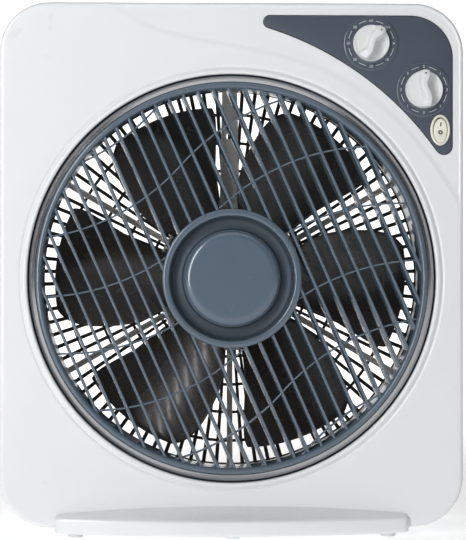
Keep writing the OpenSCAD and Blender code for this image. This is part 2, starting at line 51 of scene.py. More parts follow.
# ------------------------------------------------------------------ materials
class Mat:
    """Small helper to lay out a procedural material."""

    def __init__(self, name, rough=0.4, metallic=0.0, coat=0.0, coat_rough=0.05, spec=0.5, sss=0.0):
        self.m = bpy.data.materials.new(name)
        self.m.use_nodes = True
        self.t = self.m.node_tree
        self.b = self.t.nodes["Principled BSDF"]
        self.b.inputs["Roughness"].default_value = rough
        self.b.inputs["Metallic"].default_value = metallic
        self.b.inputs["Coat Weight"].default_value = coat
        self.b.inputs["Coat Roughness"].default_value = coat_rough
        self.b.inputs["Specular IOR Level"].default_value = spec
        if sss:
            self.b.inputs["Subsurface Weight"].default_value = sss
            self.b.inputs["Subsurface Radius"].default_value = (0.004, 0.004, 0.004)
            self.b.inputs["Subsurface Scale"].default_value = 0.4
        self.co = self.t.nodes.new("ShaderNodeTexCoord").outputs["Object"]

    def node(self, kind, **props):
        n = self.t.nodes.new(kind)
        for k, v in props.items():
            setattr(n, k, v)
        return n

    def link(self, a, b):
        self.t.links.new(a, b)

    def noise(self, scale, detail=3.0, rough=0.55, stretch=None, distort=0.0):
        n = self.node("ShaderNodeTexNoise")
        n.inputs["Scale"].default_value = scale
        n.inputs["Detail"].default_value = detail
        n.inputs["Roughness"].default_value = rough
        n.inputs["Distortion"].default_value = distort
        if stretch:
            mp = self.node("ShaderNodeMapping")
            mp.inputs["Scale"].default_value = stretch
            self.link(self.co, mp.inputs["Vector"])
            self.link(mp.outputs["Vector"], n.inputs["Vector"])
        else:
            self.link(self.co, n.inputs["Vector"])
        return n.outputs["Fac"]

    def ramp(self, fac, stops, mode="LINEAR"):
        r = self.node("ShaderNodeValToRGB")
        r.color_ramp.interpolation = mode
        e = r.color_ramp.elements
        while len(e) > 1:
            e.remove(e[-1])
        for i, (p, c) in enumerate(stops):
            c = (c, c, c) if isinstance(c, (int, float)) else c
            el = e[0] if i == 0 else e.new(p)
            el.position = p
            el.color = (*c, 1.0)
        self.link(fac, r.inputs["Fac"])
        return r.outputs["Color"]

    def mul(self, a, b):
        n = self.node("ShaderNodeMath", operation="MULTIPLY")
        self.link(a, n.inputs[0])
        if isinstance(b, float):
            n.inputs[1].default_value = b
        else:
            self.link(b, n.inputs[1])
        return n.outputs[0]

    def mix(self, fac, a, b, kind="MIX"):
        n = self.node("ShaderNodeMix", data_type="RGBA", blend_type=kind)
        if isinstance(fac, float):
            n.inputs[0].default_value = fac
        else:
            self.link(fac, n.inputs[0])
        for s, v in ((6, a), (7, b)):
            if isinstance(v, (tuple, list)):
                n.inputs[s].default_value = (*v, 1.0)
            else:
                self.link(v, n.inputs[s])
        return n.outputs[2]

    def color(self, sock):
        self.link(sock, self.b.inputs["Base Color"])

    def rough(self, sock):
        self.link(sock, self.b.inputs["Roughness"])

    def bump(self, height, strength, dist=0.0002, prev=None):
        n = self.node("ShaderNodeBump")
        n.inputs["Strength"].default_value = strength
        n.inputs["Distance"].default_value = dist
        self.link(height, n.inputs["Height"])
        if prev is not None:
            self.link(prev, n.inputs["Normal"])
        self.link(n.outputs["Normal"], self.b.inputs["Normal"])
        return n.outputs["Normal"]


def moulded(name, base, rough=0.3, coat=0.25, vary=0.05, grain=900.0, grain_amt=0.05, flow=0.10, edge=0.10, dust=0.0,
            dust_col=(0.55, 0.53, 0.49), spec=0.5, scuffs=0.0, coat_rough=0.08):
    """Injection moulded plastic: faint colour drift, flow marks, worn edges, handling smears in the gloss."""
    m = Mat(name, rough=rough, coat=coat, spec=spec, coat_rough=coat_rough)
    big = m.noise(9.0, 4.0, 0.55, distort=0.4)
    fine = m.noise(grain, 2.0, 0.6)
    lo = tuple(c * (1 - vary) for c in base)
    hi = tuple(min(1.0, c * (1 + vary * 0.8)) for c in base)
    col = m.ramp(big, [(0.30, lo), (0.52, base), (0.75, hi)])
    geo = m.node("ShaderNodeNewGeometry")
    worn = m.ramp(geo.outputs["Pointiness"], [(0.50, 0.0), (0.62, 1.0)])
    patch = m.ramp(m.noise(60.0, 3.0, 0.6), [(0.42, 0.0), (0.68, 1.0)])
    wear = m.mul(m.mul(worn, patch), float(edge))
    pale = tuple(min(1.0, c * 1.5 + 0.05) for c in base)
    col = m.mix(wear, col, pale)
    if dust:
        up = m.node("ShaderNodeSeparateXYZ")
        m.link(geo.outputs["Normal"], up.inputs[0])
        top = m.ramp(up.outputs["Z"], [(0.35, 0.0), (0.95, 1.0)])
        specks = m.ramp(m.noise(240.0, 4.0, 0.7), [(0.40, 0.15), (0.70, 1.0)])
        col = m.mix(m.mul(m.mul(top, specks), float(dust)), col, dust_col)
    m.color(col)
    smear = m.noise(26.0, 5.0, 0.65, distort=1.2)
    r0 = max(0.03, rough - 0.05)
    m.rough(m.ramp(smear, [(0.25, r0), (0.50, rough), (0.62, rough + 0.03), (0.82, min(1.0, rough + 0.12 + scuffs))]))
    nrm = m.bump(fine, grain_amt, 0.0001)
    if flow:
        nrm = m.bump(m.noise(34.0, 2.0, 0.5), flow, 0.0004, prev=nrm)
    return m.m


def metal(name, base, rough=0.3, brushed=None, vary=0.12, stain=(0.35, 0.31, 0.27), stain_amt=0.25, bump=0.15):
    m = Mat(name, rough=rough, metallic=1.0)
    big = m.noise(18.0, 4.0, 0.6)
    col = m.ramp(big, [(0.3, tuple(c * (1 - vary) for c in base)), (0.7, base)])
    spots = m.ramp(m.noise(70.0, 5.0, 0.7), [(0.58, 0.0), (0.76, 1.0)])
    m.color(m.mix(m.mul(spots, float(stain_amt)), col, stain))
    fine = m.noise(500.0, 3.0, 0.6, stretch=brushed or (1, 1, 1))
    m.rough(m.ramp(fine, [(0.3, max(0.05, rough - 0.08)), (0.7, min(1.0, rough + 0.12))]))
    m.bump(fine, bump, 0.0001)
    return m.m


M = {}
M["white"] = moulded("white_plastic", (0.79, 0.81, 0.825), rough=0.31, coat=0.30, vary=0.008, grain=1400, grain_amt=0.03, flow=0.02, edge=0.0, dust=0.06, scuffs=0.01)
M["white_rear"] = moulded("white_plastic_rear", (0.77, 0.79, 0.80), rough=0.38, coat=0.15, vary=0.02, grain=2200, grain_amt=0.16, flow=0.06, edge=0.0, dust=0.16, scuffs=0.06)
M["foot"] = moulded("white_foot", (0.80, 0.82, 0.83), rough=0.34, coat=0.2, vary=0.02, grain=1500, grain_amt=0.06, flow=0.05, edge=0.0, dust=0.14, scuffs=0.08)
M["slate"] = moulded("slate_grille", (0.088, 0.124, 0.166), rough=0.22, coat=0.7, vary=0.05, grain=1600, grain_amt=0.05, flow=0.05, edge=0.05, coat_rough=0.08)
M["slate_disc"] = moulded("slate_disc", (0.086, 0.124, 0.170), rough=0.24, coat=0.7, vary=0.05, grain=2600, grain_amt=0.22, flow=0.04, edge=0.04, coat_rough=0.09)
# darker matt copy of the slate: painted shade for the hub's deep groove
M["slate_deep"] = moulded("slate_painted_shade_matt", (0.050, 0.068, 0.090), rough=0.48, coat=0.0, vary=0.06, grain=1600, grain_amt=0.08, flow=0.04, edge=0.0, spec=0.35)
M["panel"] = moulded("slate_panel", (0.074, 0.089, 0.120), rough=0.20, coat=0.6, vary=0.05, grain=1600, grain_amt=0.02, flow=0.03, edge=0.04, coat_rough=0.06)
M["blade"] = moulded("black_blade", (0.046, 0.042, 0.039), rough=0.26, coat=0.2, vary=0.12, grain=1500, grain_amt=0.03, flow=0.10, edge=0.12, dust=0.02, coat_rough=0.10, scuffs=0.05)
M["guard"] = moulded("black_guard", (0.012, 0.0115, 0.011), rough=0.42, coat=0.1, vary=0.15, grain=2600, grain_amt=0.25, flow=0.05, edge=0.35, dust=0.06)
M["bracket"] = moulded("grey_bracket", (0.86, 0.85, 0.82), rough=0.42, coat=0.05, vary=0.06, grain=1800, grain_amt=0.2, flow=0.10, edge=0.10, dust=0.12, dust_col=(0.40, 0.38, 0.34))
M["cup"] = moulded("cream_cup", (0.80, 0.77, 0.71), rough=0.40, coat=0.05, vary=0.05, grain=1800, grain_amt=0.15, flow=0.08, edge=0.05)
M["knob"] = moulded("grey_knob", (0.74, 0.755, 0.755), rough=0.34, coat=0.15, vary=0.03, grain=2600, grain_amt=0.12, flow=0.04, edge=0.0)
M["cream"] = moulded("cream_switch", (0.80, 0.78, 0.68), rough=0.28, coat=0.3, vary=0.03, grain=2200, grain_amt=0.06, flow=0.04, edge=0.0)
M["pad"] = moulded("light_pad", (0.66, 0.67, 0.67), rough=0.55, coat=0.0, vary=0.05, grain=1200, grain_amt=0.3, flow=0.1, edge=0.0, dust=0.0)
M["rubber"] = moulded("black_rubber", (0.018, 0.018, 0.018), rough=0.62, coat=0.0, vary=0.15, grain=1500, grain_amt=0.5, flow=0.1, edge=0.25)
M["dark_body"] = moulded("dark_body", (0.035, 0.035, 0.038), rough=0.45, coat=0.05, vary=0.1, grain=1800, grain_amt=0.3, flow=0.1, edge=0.2)
M["acetal"] = moulded("natural_acetal", (0.74, 0.73, 0.67), rough=0.36, coat=0.05, vary=0.04, grain=1600, grain_amt=0.1, flow=0.1, edge=0.0)
M["case"] = moulded("white_case", (0.74, 0.73, 0.69), rough=0.42, coat=0.05, vary=0.04, grain=1600, grain_amt=0.15, flow=0.1, edge=0.0)
M["zinc"] = metal("zinc_steel", (0.56, 0.57, 0.58), rough=0.34, vary=0.18, stain_amt=0.3)
M["core"] = metal("core_steel", (0.22, 0.225, 0.235), rough=0.45, brushed=(1, 60, 1), stain_amt=0.35)
M["bronze"] = metal("bronze", (0.56, 0.38, 0.18), rough=0.36, stain=(0.20, 0.13, 0.07), stain_amt=0.3)
M["screw"] = metal("screw_steel", (0.62, 0.62, 0.61), rough=0.28, vary=0.2, stain=(0.30, 0.27, 0.22), stain_amt=0.3, bump=0.2)
M["shaft"] = metal("shaft_steel", (0.60, 0.61, 0.62), rough=0.20, brushed=(40, 1, 40), stain_amt=0.2)


def trim_material():
    m = Mat("graphite_trim", rough=0.20, metallic=1.0)
    m.color(m.ramp(m.noise(14.0, 3.0, 0.5), [(0.3, (0.40, 0.40, 0.41)), (0.7, (0.46, 0.46, 0.47))]))
    m.rough(m.ramp(m.noise(120.0, 4.0, 0.6), [(0.3, 0.17), (0.75, 0.27)]))
    m.bump(m.noise(900.0, 2.0, 0.5), 0.04, 0.0001)
    return m.m


def copper_material():
    m = Mat("copper_winding", rough=0.35, metallic=1.0, coat=0.6)
    w = m.node("ShaderNodeTexWave", wave_type="BANDS", bands_direction="DIAGONAL")
    w.inputs["Scale"].default_value = 420.0
    w.inputs["Distortion"].default_value = 1.5
    m.link(m.co, w.inputs["Vector"])
    m.color(m.ramp(w.outputs["Fac"], [(0.2, (0.25, 0.08, 0.03)), (0.7, (0.62, 0.27, 0.12))]))
    m.rough(m.ramp(m.noise(90.0), [(0.3, 0.28), (0.7, 0.42)]))
    m.bump(w.outputs["Fac"], 0.6, 0.0004)
    return m.m


def print_material(name, base):
    m = Mat(name, rough=0.45)
    m.color(m.ramp(m.noise(700.0, 3.0, 0.7), [(0.30, tuple(c * 0.72 for c in base)), (0.55, base)]))
    m.rough(m.ramp(m.noise(500.0), [(0.3, 0.38), (0.7, 0.55)]))
    m.bump(m.noise(2500.0), 0.1, 0.00005)
    return m.m


M["trim"] = trim_material()
M["copper"] = copper_material()
M["print"] = print_material("dial_print", (0.60, 0.62, 0.64))
M["ink"] = print_material("black_ink", (0.012, 0.012, 0.012))


# ------------------------------------------------------------------ mesh tools
def loft(rings, wrap=True, loop=False, cap0=False, cap1=False):
    n, m = len(rings[0]), len(rings)
    v = [p for r in rings for p in r]
    f = []
    for k in range(m if loop else m - 1):
        a, b = k * n, ((k + 1) % m) * n
        for j in range(n if wrap else n - 1):
            j2 = (j + 1) % n
            f.append((a + j, a + j2, b + j2, b + j))
    if cap0:
        f.append(tuple(reversed(range(n))))
    if cap1:
        f.append(tuple((m - 1) * n + i for i in range(n)))
    return v, f


def revolve(profile, n=256, cx=0.0, cz=AX, loop=True):
    ts = [2 * pi * i / n for i in range(n)]
    return loft([[(cx + r * math.cos(t), y, cz + r * math.sin(t)) for t in ts] for r, y in profile], loop=loop)


def fillet(pts, seg=5, closed=True):
    """Rounds the corners of a 2D path given as (a, b, radius)."""
    out, n = [], len(pts)
    for i in range(n):
        p = pts[i]
        if not closed and i in (0, n - 1) or len(p) < 3 or p[2] <= 0:
            out.append((p[0], p[1]))
            continue
        a, b, r = Vector(pts[i - 1][:2]), Vector(p[:2]), p[2]
        c = Vector(pts[(i + 1) % n][:2])
        u, w = (a - b), (c - b)
        lu, lw = u.length, w.length
        u.normalize()
        w.normalize()
        ang = math.acos(max(-1, min(1, u.dot(w))))
        if ang > pi - 0.02 or ang < 0.02:
            out.append((b.x, b.y))
            continue
        d = min(r / math.tan(ang / 2), lu * 0.49, lw * 0.49)
        rr = d * math.tan(ang / 2)
        t0, t1 = b + u * d, b + w * d
        o = b + (u + w).normalized() * (rr / math.sin(ang / 2))
        a0 = math.atan2(t0.y - o.y, t0.x - o.x)
        a1 = math.atan2(t1.y - o.y, t1.x - o.x)
        da = (a1 - a0 + pi) % (2 * pi) - pi
        for s in range(seg + 1):
            t = a0 + da * s / seg
            out.append((o.x + rr * math.cos(t), o.y + rr * math.sin(t)))
    return out


def join(*parts):
    v, f = [], []
    for pv, pf in parts:
        o = len(v)
        v += pv
        f += [tuple(i + o for i in q) for q in pf]
    return v, f


def build(name, geo, mat, body=None, nodes=(), sharp=32.0, recalc=True):
    v, f = geo
    me = bpy.data.meshes.new(name)
    me.from_pydata([(x * MM, y * MM, z * MM) for x, y, z in v], [], f)
    bm = bmesh.new()
    bm.from_mesh(me)
    bmesh.ops.remove_doubles(bm, verts=bm.verts, dist=2e-6)
    bmesh.ops.dissolve_degenerate(bm, edges=bm.edges, dist=1e-7)
    if recalc:
        bmesh.ops.recalc_face_normals(bm, faces=bm.faces)
    bm.to_mesh(me)
    bm.free()
    me.polygons.foreach_set("use_smooth", [True] * len(me.polygons))
    me.set_sharp_from_angle(angle=math.radians(sharp))
    ob = bpy.data.objects.new(name, me)
    bpy.context.scene.collection.objects.link(ob)
    me.materials.append(mat)
    if body:
        settle(ob, body, nodes)
    return ob


def settle(ob, body, nodes=()):
    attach(ob, body)
    if nodes:
        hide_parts(*nodes)
    return ob


def cut(ob, *cutters, sharp=32.0, op="DIFFERENCE"):
    """Cuts closed cutter meshes out of ob, and leaves a plain mesh."""
    for c in cutters:
        mod = ob.modifiers.new("cut", "BOOLEAN")
        mod.operation = op
        mod.solver = "EXACT"
        mod.object = c
        dg = bpy.context.evaluated_depsgraph_get()
        new = bpy.data.meshes.new_from_object(ob.evaluated_get(dg), depsgraph=dg)
        ob.modifiers.clear()
        old = ob.data
        ob.data = new
        new.name = old.name
        bpy.data.meshes.remove(old)
        bpy.data.objects.remove(c)
    me = ob.data
    mats = [m for m in me.materials if m]
    me.materials.clear()
    me.materials.append(mats[0])
    me.polygons.foreach_set("material_index", [0] * len(me.polygons))
    me.polygons.foreach_set("use_smooth", [True] * len(me.polygons))
    me.set_sharp_from_angle(angle=math.radians(sharp))
    return ob


def prism(outline, y0, y1):
    """Closed solid from a 2D outline of (x, z) points, between two depths."""
    return loft([[(x, y0, z) for x, z in outline], [(x, y1, z) for x, z in outline]], cap0=True, cap1=True)


def soft_plate(outline_at, y_front, y_back, r, seg=5, back_r=0.0):
    """A plate facing -Y with a rounded front edge. outline_at(inset) gives its outline."""
    rings = []
    for k in range(seg + 1):
        t = pi / 2 * k / seg
        d = r * (1 - math.sin(t))
        y = y_front + r * (1 - math.cos(t))
        rings.append([(x, y, z) for x, z in outline_at(d)])
    if back_r:
        for k in range(seg + 1):
            t = pi / 2 * k / seg
            d = back_r * (1 - math.cos(t))
            y = y_back - back_r * (1 - math.sin(t))
            rings.append([(x, y, z) for x, z in outline_at(d)])
    else:
        rings.append([(x, y_back, z) for x, z in outline_at(0.0)])
    return loft(rings, cap0=True, cap1=True)


def round_rect(cx, cz, w, h, r, seg=10, step=None):
    pts = []
    for a0, sx, sz in ((0, 1, 1), (90, -1, 1), (180, -1, -1), (270, 1, -1)):
        for k in range(seg + 1):
            t = math.radians(a0 + 90 * k / seg)
            pts.append((cx + sx * (w / 2 - r) + r * math.cos(t), cz + sz * (h / 2 - r) + r * math.sin(t)))
    return pts


def y_cyl(r0, r1, y0, y1, cx, cz, n=48, bev=0.3, hole=0.0):
    """A disc or ring along Y with both rims slightly rounded."""
    prof = [(r1, y0, bev), (r1, y1, bev), (r0, y1, bev * 0.6), (r0, y0, bev * 0.6)]
    if r0 == 0:
        p = fillet([(0.0, y0), (r1, y0, bev), (r1, y1, bev), (0.0, y1)], seg=3, closed=False)
        return revolve(p, n, cx, cz, loop=False)
    return revolve(fillet(prof, seg=3), n, cx, cz)


def pol(r, a_deg, cz=AX):
    t = math.radians(a_deg)
    return r * math.cos(t), cz + r * math.sin(t)


# ------------------------------------------------------------------ housing outline
def outline_base(step):
    """(x, z, nx, nz) round the outer outline of the housing, counter-clockwise seen from the front."""
    out = []
    cs = max(6, int(CR * pi / 2 / step))

    def line(x0, z0, x1, z1, nx, nz):
        n = max(1, int(math.hypot(x1 - x0, z1 - z0) / step))
        for i in range(n):
            s = i / n
            out.append((x0 + (x1 - x0) * s, z0 + (z1 - z0) * s, nx, nz))

    def arc(cx, cz, a0):
        for i in range(cs):
            t = math.radians(a0 + 90 * i / cs)
            out.append((cx + CR * math.cos(t), cz + CR * math.sin(t), math.cos(t), math.sin(t)))

    x, z0, z1 = HW, MZ - HH, MZ + HH
    line(x, z0 + CR, x, z1 - CR, 1, 0)
    arc(x - CR, z1 - CR, 0)
    line(x - CR, z1, -x + CR, z1, 0, 1)
    arc(-x + CR, z1 - CR, 90)
    line(-x, z1 - CR, -x, z0 + CR, -1, 0)
    arc(-x + CR, z0 + CR, 180)
    line(-x + CR, z0, x - CR, z0, 0, -1)
    arc(x - CR, z0 + CR, 270)
    return out


def shell_rings(base, spec, y_of=None):
    """Rings for loft from a list of ("c", r, y), ("o", inset, y) and ("m", share, y, r, inset) entries."""
    ang = [math.atan2(z - AX, x) for x, z, _, _ in base]
    rings = []
    for s in spec:
        if s[0] == "c":
            rings.append([(s[1] * math.cos(t), s[2], AX + s[1] * math.sin(t)) for t in ang])
        elif s[0] == "o":
            ring = [(x - nx * s[1], s[2], z - nz * s[1]) for x, z, nx, nz in base]
            rings.append([(x, y_of(x, z), z) if y is None else (x, y, z) for x, y, z in ring])
        else:
            _, k, y, r, d = s
            ring = []
            for (x, z, nx, nz), t in zip(base, ang):
                px = (1 - k) * r * math.cos(t) + k * (x - nx * d)
                pz = (1 - k) * (AX + r * math.sin(t)) + k * (z - nz * d)
                ring.append((px, y_of(px, pz) if y is None else y, pz))
            rings.append(ring)
    return rings


def catmull(pts, n=14):
    out = []
    for i in range(len(pts) - 1):
        p0, p1, p2, p3 = pts[max(0, i - 1)], pts[i], pts[i + 1], pts[min(len(pts) - 1, i + 2)]
        for k in range(n):
            t = k / n
            out.append(tuple(0.5 * (2 * b + (c - a) * t + (2 * a - 5 * b + 4 * c - d) * t * t + (3 * b - a - 3 * c + d) * t ** 3)
                             for a, b, c, d in zip(p0, p1, p2, p3)))
    out.append(tuple(pts[-1]))
    return out


# The face steps down by a little beyond a long soft line that sweeps over the opening from the top edge to the right edge.
STEP_LINE = np.array(catmull([(-118, 436), (-91, 411), (-66, 396), (-35, 386.5), (1, 380), (39, 372), (78, 358), (117, 332.5),
                              (148, 301), (176, 260), (200, 214)]))
STEP_A, STEP_B = STEP_LINE[:-1], STEP_LINE[1:]
STEP_D = 0.62


def step_distance(x, z):
    """Distance from the step line, above zero on the upper right side of it."""
    p = np.array([x, z])
    ab = STEP_B - STEP_A
    t = np.clip(((p - STEP_A) * ab).sum(1) / (ab * ab).sum(1), 0, 1)
    q = STEP_A + ab * t[:, None]
    d = np.hypot(*(p - q).T)
    i = int(d.argmin())
    cr = ab[i][0] * (z - STEP_A[i][1]) - ab[i][1] * (x - STEP_A[i][0])
    return float(d[i]) * (1 if cr > 0 else -1)


def face_y(x, z):
    d = step_distance(x, z)
    s = min(1.0, max(0.0, (d + 2.3) / 4.6))
    return YF + STEP_D * s * s * (3 - 2 * s)


# ------------------------------------------------------------------ control panel outline
def panel_outline(d, fine=1.0):
    """Outline of the inset panel, shrunk by d, counter-clockwise."""
    pts = []

    def arc(cx, cz, r, a0, a1, n):
        for i in range(n + 1):
            t = math.radians(a0 + (a1 - a0) * i / n)
            pts.append((cx + r * math.cos(t), cz + r * math.sin(t)))

    arc(138.5, 370.6, 32.45 - d, 0, 90, int(34 * fine))
    n = int(60 * fine)
    for i in range(1, n):
        pts.append((138.5 + (29.3 - 138.5) * i / n, 403.1 - d))
    arc(29.3, 398.8, 4.4 - d, 90, 252.75, int(16 * fine))
    n = int(150 * fine)
    for i in range(1, n):
        t = math.radians(72.75 + (35.23 - 72.75) * i / n)
        pts.append((-47.1 + (253.3 + d) * math.cos(t), 152.7 + (253.3 + d) * math.sin(t)))
    arc(164.9, 302.4, 6.0 - d, 215.2, 360, int(16 * fine))
    n = int(40 * fine)
    for i in range(1, n):
        pts.append((170.9 - d, 302.4 + (370.6 - 302.4) * i / n))
    return pts


def make_front_shell():
    base = [(x - nx * 1.2, z - nz * 1.2, nx, nz) for x, z, nx, nz in outline_base(2.3)]
    spec = [("c", LIP, -52.2), ("c", LIP, -55.1), ("c", LIP + 0.12, -55.7), ("c", LIP + 0.4, -56.15), ("c", LIP + 0.85, -56.45), ("c", LIP + 1.4, -56.58), ("c", LIP + 2.2, -56.58),
            ("c", LIP + 2.6, -56.48), ("c", LIP + 3.0, -56.22), ("c", LIP + 3.6, -55.74), ("c", LIP + 4.5, -55.0), ("c", LIP + 5.1, -54.52), ("c", LIP + 5.4, -54.38), ("c", LIP + 5.75, -54.42),
            ("c", LIP + 6.1, -54.68), ("c", LIP + 6.5, -54.90), ("c", LIP + 7.1, -54.99), ("c", LIP + 8.0, -55.0)]
    r, d, n = LIP + 9.3, 6.2, 44
    spec += [("m", k / n, None, r, d) for k in range(0, n + 1)]
    spec += [("o", 4.8, None)]
    R = 3.5
    for k in range(1, 8):
        t = pi / 2 * k / 7
        spec.append(("o", R * (1 - math.sin(t)), YF + R * (1 - math.cos(t)) + (0.0 if k else 0)))
    spec.insert(-7, ("o", R + 0.25, None))
    spec += [("o", 0.0, -48.5), ("o", 0.0, -44.2), ("o", 0.0, -42.5), ("o", 0.15, -42.2), ("o", 0.5, -42.1), ("o", 2.2, -42.1), ("o", 2.6, -42.5),
             ("o", 2.6, -51.4), ("o", 3.2, -52.0)]
    spec += [("m", k / 6, -52.2, LIP + 0.4, 4.2) for k in range(6, -1, -1)]
    ob = build("front_shell_moulding", loft(shell_rings(base, spec, face_y), loop=True), M["white"])
    seat = build("seat_cutter", prism(panel_outline(-0.9), -62.0, -53.5), M["white"])
    cut(ob, seat, sharp=30)
    settle(ob, "housing", ["front_shell"])
    return ob


def make_rear_shell():
    base = outline_base(4.0)
    spec = [("c", 158.9, -38.0), ("c", 158.35, -37.85), ("c", 158.06, -37.4), ("c", 158.0, -36.8), ("c", 158.0, -10.0), ("c", 158.0, 20.0), ("c", 158.0, 41.4),
            ("c", 158.2, 41.9), ("c", 158.7, 42.0), ("c", 159.7, 42.0), ("c", 160.0, 42.3), ("c", 160.0, 54.2), ("c", 160.25, 54.8),
            ("c", 160.9, 55.0), ("c", 163.0, 55.0)]
    spec += [("m", k / 6, 55.0, 164.5, 15.5) for k in range(0, 7)]
    # a shallow styling groove runs round the back wall
    spec += [("o", 13.6, 55.0), ("o", 13.2, 54.85), ("o", 12.9, 54.5), ("o", 12.3, 54.25), ("o", 11.7, 54.5), ("o", 11.4, 54.85), ("o", 11.0, 55.0), ("o", 7.5, 55.0)]
    R = 5.5
    for k in range(1, 9):
        t = pi / 2 * k / 8
        spec.append(("o", R * (1 - math.sin(t)), YB - R * (1 - math.cos(t))))
    spec += [("o", 0.0, 30.0), ("o", 0.0, 0.0), ("o", 0.0, -30.0), ("o", 0.0, -42.3), ("o", 0.08, -42.7), ("o", 0.28, -42.95), ("o", 0.44, -42.9), ("o", 0.52, -42.6), ("o", 0.56, -41.2), ("o", 0.8, -41.0),
             ("o", 2.6, -41.0), ("o", 2.6, 51.2), ("o", 3.4, 52.0)]
    spec += [("m", k / 4, 52.0, 163.4, 6.0) for k in range(4, -1, -1)]
    spec += [("c", 162.5, 51.4), ("c", 162.5, 40.0), ("c", 162.2, 39.5), ("c", 161.0, 39.4), ("c", 160.6, 39.0), ("c", 160.6, -37.4), ("c", 160.45, -37.8), ("c", 160.0, -38.0)]
    ob = build("rear_shell_moulding", loft(shell_rings(base, spec), loop=True), M["white_rear"])
    bosses = [(-150, 32), (150, 32), (-150, 388), (150, 388), (-169, 282), (169, 282)]
    cutters = [build("c1", prism(round_rect(0, 389.5, 124, 25, 8), 48.0, 60.0), M["white_rear"])]
    holes = join(*[y_cyl(0, 4.3, 48, 60, x, z, 40) for x, z in bosses], y_cyl(0, 6.1, 48, 60, 135, 52, 48))
    cutters.append(build("c2", holes, M["white_rear"]))
    cut(ob, *cutters, sharp=30)
    extra = []
    # carrying grip: a deep rounded tray with a soft rim
    tray = []
    prof = [(2.6, 50.5), (2.6, 54.2), (2.4, 54.7), (1.9, 54.95), (1.2, 55.0), (0.5, 54.9), (0.1, 54.5), (0.0, 54.0), (-0.3, 32.0), (-0.9, 29.6), (-2.2, 28.3), (-4.5, 27.8)]
    for grow, y in prof:
        tray.append([(x, y, z) for x, z in round_rect(0, 389.5, 124 + 2 * grow, 25 + 2 * grow, 8 + grow)])
    back = [(-4.5, 25.6), (-1.0, 25.9), (1.0, 27.4), (1.9, 30.0), (2.3, 50.5)]
    for grow, y in back:
        tray.append([(x, y, z) for x, z in round_rect(0, 389.5, 124 + 2 * grow, 25 + 2 * grow, 8 + grow)])
    inner = loft(tray[:12], cap1=True)
    extra.append(inner)
    # screw wells
    for x, z in bosses:
        p = fillet([(4.3, 54.85, 0.0), (4.3, -10.0, 0.4), (2.1, -10.0, 0.2), (2.1, -19.6, 0.2), (6.0, -19.6, 0.4), (6.0, 53.0, 0.0), (4.55, 54.95, 0.0)], seg=3)
        extra.append(revolve(p, 40, x, z))
    for a in (45, 135, 225, 315):
        x, z = pol(166.6, a)
        extra.append(revolve(fillet([(1.55, 46.2, 0), (1.55, 54.9, 0.1), (3.6, 54.9, 0.1), (3.6, 44.0, 0.3), (0.0, 44.0, 0), (0.0, 46.2, 0)], seg=3), 32, x, z))
    wells = build("rear_shell_wells", join(*extra), M["white_rear"], "housing", sharp=40)
    settle(ob, "housing", ["rear_shell"])
    return ob


